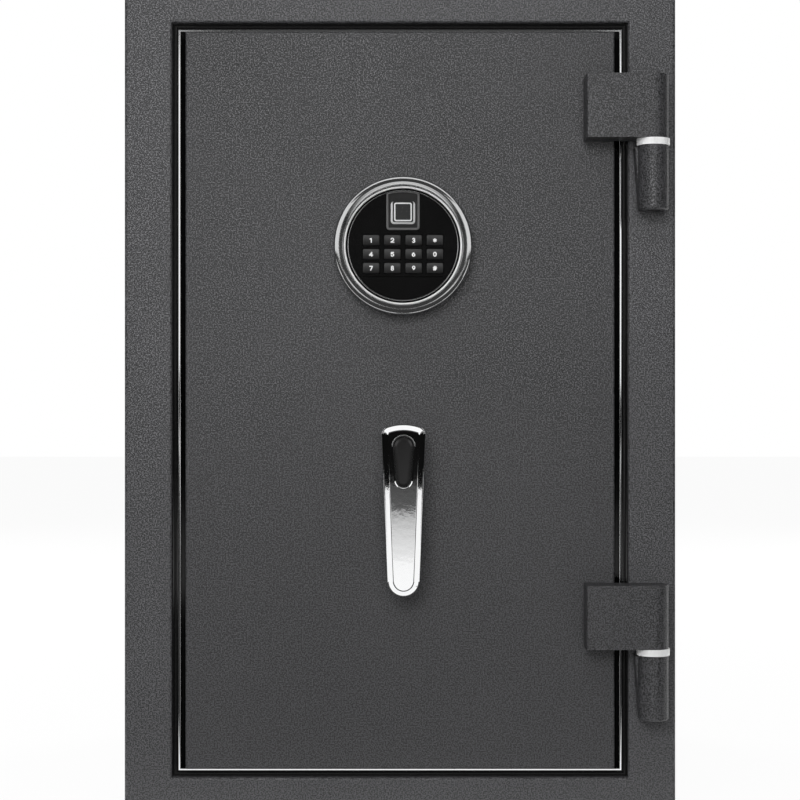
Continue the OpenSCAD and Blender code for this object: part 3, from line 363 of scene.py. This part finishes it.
def give_finish(node_name, finish):
    for material_slot in frame["nodes"][node_name].material_slots:
        material_slot.material = FINISHES[finish]


finishes()
for row in frame["record"]["subparts"]:
    give_finish(row["node"], row["material_slot"])
# Two nodes are brighter than the rest of their slot: the washers are bright zinc, and the outer shell is
# a paler copy of the coat, painted light that makes the frame lighter than the door
give_finish("hinge_washers", "washer_steel")
give_finish("outer_shell", "powder_coat_painted_paler")


# Mesh tools


def at_door(x, height, z):
    """Point in the frame, from a place and a height."""
    return (x * MM, FRONT - height * MM, z * MM)


def piece(name, points, faces, body, finish, stands_for=(), sharp=32):
    """Piece that rides on a body. Edges of more than sharp degrees stay sharp."""
    mesh = bpy.data.meshes.new(name)
    mesh.from_pydata([tuple(p) for p in points], [], faces)
    shell = bmesh.new()
    shell.from_mesh(mesh)
    bmesh.ops.recalc_face_normals(shell, faces=shell.faces)
    shell.to_mesh(mesh)
    shell.free()
    mesh.shade_smooth()
    mesh.set_sharp_from_angle(angle=math.radians(sharp))
    mesh.materials.append(FINISHES[finish])
    thing = bpy.data.objects.new(name, mesh)
    bpy.context.scene.collection.objects.link(thing)
    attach(thing, body)
    if stands_for:
        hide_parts(*stands_for)


def ring_faces(rings, count, closed=False):
    """Quads between rings of equal length, each ring closed on itself."""
    faces = []
    for r in range(rings if closed else rings - 1):
        s = (r + 1) % rings
        for i in range(count):
            j = (i + 1) % count
            faces.append((r * count + i, r * count + j, s * count + j, s * count + i))
    return faces


def lofted(name, rings, body, finish, stands_for=(), caps=(True, True), sharp=32):
    """Skin over rings of points, with flat ends."""
    count = len(rings[0])
    points = [p for ring in rings for p in ring]
    faces = ring_faces(len(rings), count)
    if caps[0]:
        faces.append(tuple(range(count)))
    if caps[1]:
        faces.append(tuple(range(len(points) - count, len(points))))
    piece(name, points, faces, body, finish, stands_for, sharp)


def turned(name, section, centre, body, finish, stands_for=(), steps=256, sharp=50):
    """Ring turned about an axis along Y. The section is a closed list of radius and height."""
    x, z = centre
    points = []
    for k in range(steps):
        a = 2 * math.pi * k / steps
        points += [at_door(x + r * math.cos(a), h, z + r * math.sin(a)) for r, h in section]
    piece(name, points, ring_faces(steps, len(section), True), body, finish, stands_for, sharp)


def mitred(name, sides, ends, body, finish, stands_for=()):
    """Section run round the door's opening, with one form at the sides and one at top and bottom.

    In a section, u is the distance outwards from the opening's edge and v the depth behind the front.
    """
    points = []
    for sx, sz in ((1, 1), (-1, 1), (-1, -1), (1, -1)):
        for (u, v), (up, _) in zip(sides, ends):
            points.append(at_door(sx * (OPEN_HALF_W + u), -v, MID_Z + sz * (OPEN_HALF_H + up)))
    piece(name, points, ring_faces(4, len(sides), True), body, finish, stands_for, sharp=40)


def arc(cx, cy, r, a0, a1, n):
    """Points of an arc from angle a0 to a1, in n steps."""
    angles = [math.radians(a0 + (a1 - a0) * i / n) for i in range(n + 1)]
    return [(cx + r * math.cos(a), cy + r * math.sin(a)) for a in angles]


def rounded_rect(w, h, r, n):
    x, y = w / 2 - r, h / 2 - r
    corners = ((x, y, 0), (-x, y, 90), (-x, -y, 180), (x, -y, 270))
    return [p for cx, cy, a in corners for p in arc(cx, cy, r, a, a + 90, n)]


# Lever and keyhole cap

def lever_outline(inset):
    """Outline of the lever from the handle's axis, drawn in by inset."""
    tip_r = LEVER_TIP_W / 2 - inset
    tip_z = -LEVER_DOWN + LEVER_TIP_W / 2
    corner = LEVER_CORNER_R - inset
    shoulder = LEVER_UP - LEVER_CROWN
    rise = LEVER_CROWN - LEVER_CORNER_R
    half = LEVER_TOP_W / 2 - LEVER_CORNER_R
    run = shoulder - tip_z
    # The straight sides touch the tip's arc and the corners' arcs
    taper = math.asin((LEVER_TIP_W / 2 - LEVER_CORNER_R) / math.hypot(half, run))
    lean = math.degrees(math.atan2(half, run) - taper)
    arch_r = (half * half + rise * rise) / (2 * rise)
    arch_a = math.degrees(math.asin(half / arch_r))
    arch_z = LEVER_UP - arch_r - LEVER_CORNER_R
    return (
        arc(0, tip_z, tip_r, 180 + lean, 360 - lean, 28)
        + arc(half, shoulder, corner, -lean, 90 - arch_a, 10)
        + arc(0, arch_z, arch_r + corner, 90 - arch_a, 90 + arch_a, 16)[1:-1]
        + arc(-half, shoulder, corner, 90 + arch_a, 180 + lean, 10)
    )


def cap_outline(grow, n):
    """Egg-shaped outline of the keyhole cap from the handle's axis, grown by a gap."""
    top, low = CAP_TOP_R + grow, CAP_LOW_R + grow
    centre = CAP_H / 2 - CAP_TOP_R
    span = CAP_H - CAP_TOP_R - CAP_LOW_R
    lean = math.degrees(math.asin((CAP_TOP_R - CAP_LOW_R) / span))
    return (
        arc(0, centre, top, -lean, 180 + lean, n)
        + arc(0, centre - span, low, 180 + lean, 360 - lean, n)
    )


def at_handle(outline, height):
    return [at_door(HANDLE[0] + x, height, HANDLE[1] + z) for x, z in outline]


def flat_between(outline, mouth):
    """Triangles of the flat face between an outline and a mouth in it, numbered in that order."""
    face = bmesh.new()
    edges = []
    for ring in (outline, mouth):
        verts = [face.verts.new(p) for p in ring]
        edges += [face.edges.new((verts[i], verts[(i + 1) % len(verts)])) for i in range(len(verts))]
    bmesh.ops.triangle_fill(face, edges=edges, use_beauty=True)
    face.verts.index_update()
    triangles = [tuple(v.index for v in f.verts) for f in face.faces]
    face.free()
    return triangles


def handle_lever():
    """Cast lever: rounded rim, sloping bevel, flat face, and the countersunk pocket of the cap."""
    # Each point of the skin is an inset of the outline and a height
    back_edge = [(0.8, LEVER_BACK), (0.25, 20.2), (0.0, 20.8)]
    rim = [(0.0, 31.0), (0.05, 31.22), (0.15, 31.36), (0.28, 31.42)]
    ledge = [(0.34, 31.43), (0.95, 31.45), (1.0, 31.46), (1.07, 31.52)]
    bevel = [(1.15, 31.6), (4.2, 34.55)]
    face_edge = [(4.28, 34.63), (4.45, 34.77), (4.65, 34.9), (4.85, 34.975)]
    face_edge += [(5.05, LEVER_FRONT), (5.3, LEVER_FRONT)]
    skin = back_edge + rim + ledge + bevel + face_edge
    rings = [at_handle(lever_outline(inset), height) for inset, height in skin]
    # Each point of the pocket is its gap round the cap and a height, from the mouth to the floor
    mouth = [(1.9, LEVER_FRONT), (1.7, LEVER_FRONT), (1.58, 34.96), (1.5, 34.91)]
    sink = [(0.72, 34.34), (0.62, 34.24), (0.45, 34.0)]
    wall = [(0.3, 33.6), (0.3, 31.6)]
    holes = [at_handle(cap_outline(gap, 40), height) for gap, height in mouth + sink + wall]

    outer, inner = len(rings[0]), len(holes[0])
    points = [p for ring in rings + holes for p in ring]
    first_hole = len(rings) * outer
    faces = ring_faces(len(rings), outer)
    faces += [tuple(first_hole + i for i in face) for face in ring_faces(len(holes), inner)]
    faces.append(tuple(range(outer)))
    faces.append(tuple(range(len(points) - inner, len(points))))
    around_mouth = [*range(first_hole - outer, first_hole), *range(first_hole, first_hole + inner)]
    for triangle in flat_between(rings[-1], holes[0]):
        faces.append(tuple(around_mouth[i] for i in triangle))
    piece("handle_lever_cast", points, faces, "handle", "polished_chrome", ("handle_lever",), sharp=24)


def handle_hub():
    """Round boss between the door and the lever."""
    foot = [(14.2, 0.4), (14.8, 0.6), (15, 1.0)]
    neck = [(15, 19.0), (15.6, 19.7), (16.2, LEVER_BACK)]
    bore = [(0.5, LEVER_BACK), (0.5, 0.4)]
    section = foot + neck + bore
    turned("handle_hub", section, HANDLE, "handle", "polished_chrome", steps=96, sharp=40)


def keyhole_cap():
    """Black cap: upright edge, soft shoulder, sloping sides and a flat middle."""
    shoulder = [(0.0, 31.95), (0.0, 33.7), (0.05, 33.92), (0.18, 34.1), (0.4, 34.27)]
    slope_w, slope_h, steps = 1.5, 0.82, 6
    slope = [(0.4 + slope_w * t / steps, 34.27 + slope_h * t / steps) for t in range(1, steps + 1)]
    middle = [(2.1, 35.16), (2.35, 35.2), (2.7, 35.22)]
    rings = [at_handle(cap_outline(-inset, 48), height) for inset, height in shoulder + slope + middle]
    lofted("keyhole_cap_moulded", rings, "keyhole_cap", "cap_plastic", ("keyhole_cap",), sharp=60)


# Keypad

def keypad_ring():
    """Satin outer ring. Its cone leans 9.5 degrees inwards from a crest near the inner edge."""
    bore = [(46.2, 0), (46.2, 18.0), (46.3, 18.34), (46.5, 18.61)]
    cone = [(46.7, 18.67), (47.7, 18.837), (48.6, 18.988)]
    crest = [(48.95, 19.046), (49.32, 18.985)]
    slope = arc(48.507, 13.34, 5.7, 78, 44, 16)
    edge = arc(50.3, 15.08, 3.2, 42, 0, 12)
    foot = [(53.5, 0.3), (53.2, 0)]
    section = bore + cone + crest + slope + edge + foot
    turned("keypad_ring_turned", section, PAD, "door", "satin_chrome", ("keypad_ring",), sharp=12)


def keypad_inner_ring():
    """Thin ridge round the face, the groove outside it and the bright lip that stands in the groove."""
    foot = 10.0
    ridge = [(42.13, foot), (42.13, 14.9)] + arc(42.45, 14.95, 0.32, 170, 10, 8)
    ridge += [(42.8, 14.6), (42.8, foot)]
    turned("keypad_inner_ring_turned", ridge, PAD, "door", "satin_chrome", ("keypad_inner_ring",))
    groove = [(42.75, foot), (42.75, 13.6), (46.25, 13.6), (46.25, foot)]
    turned("keypad_groove", groove, PAD, "door", "face_black")
    lip = [(44.3, foot), (44.3, 15.6)] + arc(45.1, 15.65, 0.8, 165, 15, 16)
    lip += [(45.9, 15.6), (45.9, foot)]
    turned("keypad_lip_turned", lip, PAD, "door", "lip_bright")


def key_cap(name, x, z):
    """Key with its flange, rounded edges and a top that falls away towards its upper edge."""
    half = KEY_H / 2
    wide, tall = KEY_W - 0.3, KEY_H - 0.25
    flange, foot, shelf, side_top = 0.7, 10.9, 12.2, 14.9
    slack = -0.13

    def top(v):
        fall = 0.72 * max(0.0, v / half - 0.05) ** 2
        lower_dip = 0.1 * max(0.0, -v / half - 0.5) ** 2
        return KEY_TOP - fall - lower_dip

    rings = []
    for grow, height in ((flange, foot), (flange, shelf), (slack, shelf), (slack, side_top)):
        outline = rounded_rect(KEY_W + 2 * grow, KEY_H + 2 * grow, KEY_CORNER_R + grow * 0.5, 5)
        rings.append([at_door(x + u, height, z + v) for u, v in outline])
    for inset, drop in ((0.03, 0.34), (0.14, 0.17), (0.34, 0.05), (0.6, 0.0)):
        outline = rounded_rect(wide - 2 * inset, tall - 2 * inset, KEY_CORNER_R - inset * 0.5, 5)
        rings.append([at_door(x + u, top(v) - drop, z + v) for u, v in outline])
    # Rows across the top, from the outline towards the middle line
    outline = rounded_rect(wide - 1.2, tall - 1.2, 0.75, 5)
    for share in (0.92, 0.84, 0.76, 0.68, 0.6, 0.5, 0.4, 0.3, 0.2, 0.1, 0.01):
        rings.append([at_door(x + u, top(v * share), z + v * share) for u, v in outline])
    lofted("cap_of_" + name, rings, name, "key_plastic", (name,), sharp=40)


def split_at_corners(path):
    """Runs of a path between its sharp corners."""
    corner = math.radians(40)
    runs, run = [], [Vector(path[0])]
    for i in range(1, len(path)):
        here = Vector(path[i])
        run.append(here)
        if i < len(path) - 1 and (here - run[-2]).angle(Vector(path[i + 1]) - here) > corner:
            runs.append(run)
            run = [here]
    return runs + [run]


def ribbon(run, width, low, high):
    """Flat bar of even width along a smooth run, with round ends. Points are across, height, up."""
    loop = (run[0] - run[-1]).length < 1e-6
    line = run[:-1] if loop else run
    n = len(line)
    stations = []
    for i, p in enumerate(line):
        before = p - line[i - 1] if loop or i > 0 else line[1] - p
        after = line[(i + 1) % n] - p if loop or i < n - 1 else p - line[i - 1]
        stations.append((p, (before.normalized() + after.normalized()).normalized(), width / 2))
    if not loop:
        (p, a, half), (q, b, _) = stations[0], stations[-1]
        for angle in (30, 55, 75, 88):
            out, side = half * math.sin(math.radians(angle)), half * math.cos(math.radians(angle))
            stations.insert(0, (p - a * out, a, side))
            stations.append((q + b * out, b, side))
    points = []
    for p, along, half in stations:
        side = Vector((-along.y, along.x)) * half
        points += [(p.x + side.x, high, p.y + side.y), (p.x - side.x, high, p.y - side.y),
                   (p.x - side.x, low, p.y - side.y), (p.x + side.x, low, p.y + side.y)]
    faces = ring_faces(len(stations), 4, loop)
    if not loop:
        faces += [(0, 1, 2, 3), tuple(range(len(points) - 4, len(points)))]
    return points, faces


def star_stroke(degrees):
    x, z = 1.15 * math.cos(math.radians(degrees)), 1.15 * math.sin(math.radians(degrees))
    return [(x, z), (-x, -z)]


# Strokes of each sign, from the middle of its key
SIGNS = {
    "1": [[(-0.75, 1.0), (0.15, 1.5), (0.15, -1.5)]],
    "2": [arc(0, 0.62, 1.0, 165, -35, 12) + [(-1.05, -1.4)], [(-1.05, -1.42), (1.15, -1.42)]],
    "3": [arc(0, 0.75, 0.78, 150, -90, 12), arc(0, -0.68, 0.88, 90, -150, 12)],
    "4": [[(0.5, -1.5), (0.5, 1.45), (-1.2, -0.7), (1.25, -0.7)]],
    "5": [[(0.95, 1.42), (-0.75, 1.42), (-0.9, 0.15)] + arc(-0.02, -0.5, 0.98, 125, -150, 14)],
    "6": [arc(0, -0.58, 0.92, 0, 360, 24), arc(0.75, -0.5, 1.72, 180, 112, 8)],
    "7": [[(-1.0, 1.42), (1.0, 1.42), (-0.25, -1.5)]],
    "8": [arc(0, 0.78, 0.72, 0, 360, 20), arc(0, -0.7, 0.86, 0, 360, 20)],
    "9": [arc(0, 0.58, 0.92, 0, 360, 24), arc(-0.75, 0.5, 1.72, 0, -68, 8)],
    "0": [arc(0, 0.55, 0.92, 0, 180, 12) + arc(0, -0.55, 0.92, 180, 360, 12) + [(0.92, 0.55)]],
    "star": [star_stroke(degrees) for degrees in (30, 90, 150)],
    "hash": [[(-0.75, -1.4), (-0.3, 1.4)], [(0.3, -1.4), (0.75, 1.4)],
             [(-1.15, 0.55), (1.2, 0.55)], [(-1.2, -0.55), (1.15, -0.55)]],
}
KEY_ROWS = (("1", "2", "3", "star"), ("4", "5", "6", "0"), ("7", "8", "9", "hash"))


def key_sign(sign, body, x, z):
    """Printed sign on a key, a thin raised layer."""
    # Each run lies a hair above the last, so that no two faces share a plane where they cross
    hair = 0.004
    points, faces = [], []
    runs = [run for path in SIGNS[sign] for run in split_at_corners(path)]
    for k, run in enumerate(runs):
        verts, polys = ribbon(run, SIGN_STROKE, SIGN_BACK, SIGN_TOP + hair * k)
        start = len(points)
        points += [at_door(x + u, h, z + v) for u, h, v in verts]
        faces += [tuple(start + i for i in poly) for poly in polys]
    piece("sign_" + sign, points, faces, body, "numeral_white")


def keys():
    for row, signs in enumerate(KEY_ROWS):
        for column, sign in enumerate(signs):
            x = PAD[0] + (column - 1.5) * KEY_PITCH_X
            z = PAD[1] + KEY_RISE - row * KEY_PITCH_Z
            key_cap("key_" + sign, x, z)
            key_sign(sign, "key_" + sign, x, z)


# Fingerprint sensor

def at_sensor(outline, height):
    return [at_door(PAD[0] + x, height, PAD[1] + SENSOR_UP + z) for x, z in outline]


def channel_outline(inset):
    """Outline of the sensor's channel from the keypad's centre, drawn in by inset."""
    side, r = CHANNEL_HALF - inset, max(CHANNEL_CORNER_R - inset, 0.4)
    floor = CHANNEL_LOW + inset + r
    reach = CHANNEL_REACH - inset * 0.5
    turn = math.degrees(math.asin(side / reach))
    return (
        arc(-side + r, floor, r, 180, 270, 8)
        + arc(side - r, floor, r, 270, 360, 8)
        + arc(0, 0, reach, 90 - turn, 90 + turn, 18)
    )


def sensor_channel():
    """Channel in the keypad's face, with a rounded rim painted paler than the channel, a painted
    highlight along its edge.
    """
    rim = [(0.0, 12.7), (0.0, 14.95), (0.1, 15.2), (0.35, 15.36), (0.75, 15.4), (1.15, 15.36)]
    rim += [(1.45, 15.15), (1.65, 14.75), (1.8, 14.2)]
    floor = [(1.95, 13.95), (2.3, 13.85), (2.8, 13.8)]

    def channel_rings(profile):
        return [
            [at_door(PAD[0] + x, height, PAD[1] + z) for x, z in channel_outline(inset)]
            for inset, height in profile
        ]

    # The rim's paler finish is a painted highlight; the channel's floor is the same plastic, darker.
    lofted("sensor_rim", channel_rings(rim), "door", "sensor_rim", caps=(True, False), sharp=60)
    lofted("sensor_channel", channel_rings(rim[-1:] + floor), "door", "sensor_frame",
           ("sensor_surround",), (False, True), sharp=60)


def sensor_slope():
    """Sloping metal frame round the bezel, and the dark deck on it."""
    # Width, lower edge, upper edge, corner radius, height
    slope = [(19.0, -9.3, 8.3, 2.6, 13.7), (18.9, -9.2, 8.25, 2.6, 13.95), (18.6, -9.05, 8.2, 2.5, 14.1),
             (15.9, -7.95, 7.9, 1.9, 15.1), (15.5, -7.8, 7.8, 1.8, 15.22), (15.1, -7.6, 7.6, 1.7, 15.26)]
    rings = []
    for w, lower, upper, r, height in slope:
        outline = rounded_rect(w, upper - lower, r, 8)
        rings.append(at_sensor([(x, z + (lower + upper) / 2) for x, z in outline], height))
    lofted("sensor_slope", rings, "door", "slope_metal", sharp=50)
    # Width, corner radius, height
    deck = [(DECK_W, 1.8, 14.9), (DECK_W, 1.8, 15.27), (15.9, 1.7, 15.3), (13.0, 1.2, 15.3)]
    deck_up = 0.25
    rings = []
    for w, r, height in deck:
        outline = rounded_rect(w, DECK_H - (DECK_W - w), r, 8)
        rings.append(at_sensor([(x, z + deck_up) for x, z in outline], height))
    lofted("sensor_deck", rings, "door", "sensor_frame", sharp=50)


def sensor_window():
    """Thin bright bezel and the dark window in it."""
    # Width, length, corner radius, height
    bezel = [(13.8, 14.5, 1.6, 15.2), (13.7, 14.4, 1.55, 15.34), (13.3, 14.0, 1.4, 15.4),
             (12.3, 13.0, 1.0, 15.4), (11.7, 12.4, 0.8, 15.34), (11.3, 12.0, 0.7, 15.1),
             (11.2, 11.9, 0.6, 14.9)]
    glass = [(11.3, 12.0, 0.6, 14.6), (11.3, 12.0, 0.6, 15.31), (11.1, 11.8, 0.5, 15.33),
             (6.0, 6.5, 0.3, 15.33)]

    def sensor_rings(profile):
        return [at_sensor(rounded_rect(w, h, r, 8), height) for w, h, r, height in profile]

    lofted("sensor_bezel", sensor_rings(bezel), "door", "bezel_bright", caps=(False, False), sharp=50)
    lofted("sensor_glass", sensor_rings(glass), "door", "sensor_glass", ("sensor_window",), sharp=50)


# Moulding round the opening

def inner_bead_strip():
    """Bright strip of the inner bead. Its face leans outwards, by 12 degrees at first and 46 at last."""
    inner_edge = [(-6.45, 5.2), (-6.45, 3.65), (-6.35, 3.5)]
    section = inner_edge + arc(-7.1, 7.55, 4.2, -78, -44, 8) + [(-4.05, 5.2)]
    mitred("inner_bead_strip", section, section, "cabinet", "bead_chrome")


def door_frame_moulding():
    """Black moulding with its outer bead, and the shoulder that reaches to the throat."""
    outer_bead = arc(-2.4, 4.6, 1.0, 0, -180, 16)
    shoulder = [(-6.3, 4.6), (-6.3, 20.0), (-SHOULDER_SIDES, 20.0), (-SHOULDER_SIDES, 22.0), (0, 22.0)]
    sides = [(0, 4.6)] + outer_bead + shoulder
    ends = [(-SHOULDER_ENDS if u == -SHOULDER_SIDES else u, v) for u, v in sides]
    mitred("door_frame_moulding", sides, ends, "cabinet", "frame_black", ("door_frame_trim",))


handle_lever()
handle_hub()
keyhole_cap()
keypad_ring()
keypad_inner_ring()
keys()
sensor_channel()
sensor_slope()
sensor_window()
inner_bead_strip()
door_frame_moulding()


# Studio, in metres

def floor_finish():
    """White floor to camera, gloss and glass, with a small share left to light and shadow."""
    shadow_share = 0.05
    f = Finish("studio_floor", Base_Color=(*grey(0.95), 1), Roughness=0.9)
    f.show(f.add("ShaderNodeMixShader", None, {
        0: f.seen() * (1 - shadow_share), 1: Wire(f, f.shader.outputs[0]), 2: f.glow((1, 1, 1, 1)),
    }))
    return f.material


def stage_plane(name, corners, material):
    mesh = bpy.data.meshes.new(name)
    mesh.from_pydata(corners, [], [(0, 1, 2, 3)])
    mesh.materials.append(material)
    thing = bpy.data.objects.new(name, mesh)
    bpy.context.scene.collection.objects.link(thing)
    return thing


def lamp(name, place, target, size, power, glossy=False):
    """Softbox that faces its target. Glossy surfaces don't show it unless glossy is set."""
    data = bpy.data.lights.new(name, "AREA")
    data.shape = "RECTANGLE"
    data.size, data.size_y = size
    data.energy = power
    thing = bpy.data.objects.new(name, data)
    thing.location = place
    thing.rotation_euler = (Vector(target) - Vector(place)).to_track_quat("-Z", "Y").to_euler()
    thing.visible_glossy = glossy
    bpy.context.scene.collection.objects.link(thing)
    return thing


def coated_steel():
    rows = frame["record"]["subparts"]
    return [frame["nodes"][row["node"]] for row in rows if row["material_slot"] == "powder_coat"]


def coated_only():
    """Collection that keeps a lamp to the coated steel."""
    coated = bpy.data.collections.new("coated")
    for thing in coated_steel():
        coated.objects.link(thing)
    return coated


def all_but_coated():
    """Collection that keeps a card off the coated steel and leaves it on all else."""
    name = "all_but_coated"
    if name in bpy.data.collections:
        return bpy.data.collections[name]
    rest = bpy.data.collections.new(name)
    for number, thing in enumerate(coated_steel()):
        rest.objects.link(thing)
        rest.collection_objects[number].light_linking.link_state = "EXCLUDE"
    return rest


def card(name, corners, level, far_level=None):
    """Flag or reflector that only glossy surfaces show. Its level may change along Y."""
    f = Finish(name)
    colour = (*grey(level), 1)
    if far_level is not None:
        near, far = corners[2][1], corners[0][1]
        colour = f.mixed((near - f.along("Y")) * (1 / (near - far)), grey(level), grey(far_level))
    f.show(f.glow(colour))
    thing = stage_plane(name, corners, f.material)
    thing.visible_camera = False
    thing.visible_diffuse = False
    thing.visible_shadow = False
    thing.visible_transmission = False
    thing.light_linking.receiver_collection = all_but_coated()


def flat_card(name, x0, x1, y0, y1, z, level, far_level=None):
    card(name, [(x0, y0, z), (x1, y0, z), (x1, y1, z), (x0, y1, z)], level, far_level)


def upright_card(name, start, end, z0, z1, level):
    card(name, [(*start, z0), (*end, z0), (*end, z1), (*start, z1)], level)


def cards():
    """Dark flags in front and at the sides, bright reflectors for the rings and bevels, and dark cards on
    the floor in front of the safe that paint shade there for glossy surfaces.
    """
    black, dark, white = 0.004, 0.06, 1.0
    far, near, top = -6.05, -2.59, 3.6
    front_half, side_x, low_z = 3.4, 3.2, 0.002
    upright_card("flag_front", (-front_half, far), (front_half, far), 0.0, 0.5, black)
    upright_card("flag_front_upper", (-front_half, far), (front_half, far), 0.5, top, dark)
    flat_card("flag_top", -front_half, front_half, far, 2, top, dark)
    flat_card("floor_far", -4, 4, far, -4.21, 0.003, level=0.08)
    flat_card("floor_middle", -4, 4, -4.21, near, 0.003, level=0.85, far_level=0.42)
    # Painted shade: dark cards on the floor in front of the safe, seen only in reflections.
    flat_card("floor_painted_shade_feet", -0.2, 0.2, -1.8, -0.3, low_z, dark)
    flat_card("reflector_top", -2.6, 2.6, -0.9, 0.2, 2.2, white)
    for side, s in (("left", -1), ("right", 1)):
        upright_card("flag_" + side, (s * side_x, far), (s * side_x, 2), 0.02, top, black)
        flat_card("floor_painted_shade_near_" + side, s * 0.2, s * 1.05, -1.8, -0.3, low_z, dark)
        flat_card("flag_aside_" + side, s * 1.05, s * side_x, near, -0.5, low_z, dark)
        outer, bend, inner = (s * 1.7, -0.28), (s * 1.15, -1.35), (s * 0.82, -1.97)
        card("reflector_" + side, [(*bend, 0.40), (*outer, 0.44), (*outer, 1.75), (*bend, 1.75)], white)
        upright_card("reflector_front_" + side, inner, bend, 0.40, 1.6, white)


def studio():
    stage_plane("floor", [(-9, -9, 0), (9, -9, 0), (9, 9, 0), (-9, 9, 0)], floor_finish())
    cards()
    lamp("softbox_key", place=(-0.5, -2.3, 1.2), target=(0, -0.2, 0.40), size=(1.1, 0.8), power=24)
    lamp("softbox_top", place=(-0.3, -1.1, 2.0), target=(0, -0.2, 0.42), size=(1.6, 1.0), power=14)
    # A broad light in front gives the coated steel its sheen
    sheen = lamp("softbox_sheen", place=(-0.15, -2.5, 0.95), target=(0, -0.2, 0.45), size=(1.5, 1.5),
                 power=24, glossy=True)
    sheen.light_linking.receiver_collection = coated_only()
    for side, s in (("left", -1), ("right", 1)):
        lamp("softbox_rear_" + side, place=(s * 1.9, 1.9, 1.2), target=(0, 0.1, 0.35), size=(1.4, 1.4),
             power=60)


def surroundings():
    """White world to camera, gloss and glass, and a faint even light on the object."""
    light_on_object = 0.12
    world = bpy.data.worlds.new("studio")
    nodes = Nodes(world)
    background = nodes.tree.nodes["Background"]
    nodes.fill(background.inputs["Color"], (1, 1, 1, 1))
    nodes.fill(background.inputs["Strength"], nodes.seen() * (1 - light_on_object) + light_on_object)
    bpy.context.scene.world = world
    bpy.context.scene.view_settings.view_transform = "Standard"


def camera():
    """Camera level with the middle of the safe. The photo's width takes in 624 mm at the door's front."""
    half_view, distance = 0.3120, 1.4
    data = bpy.data.cameras.new("camera")
    data.sensor_fit = "HORIZONTAL"
    data.angle = 2 * math.atan(half_view / distance)
    thing = bpy.data.objects.new("camera", data)
    thing.location = (0, FRONT - distance, MID_Z * MM)
    thing.rotation_euler = (math.radians(90), 0, 0)
    bpy.context.scene.collection.objects.link(thing)
    bpy.context.scene.camera = thing


studio()
surroundings()
camera()
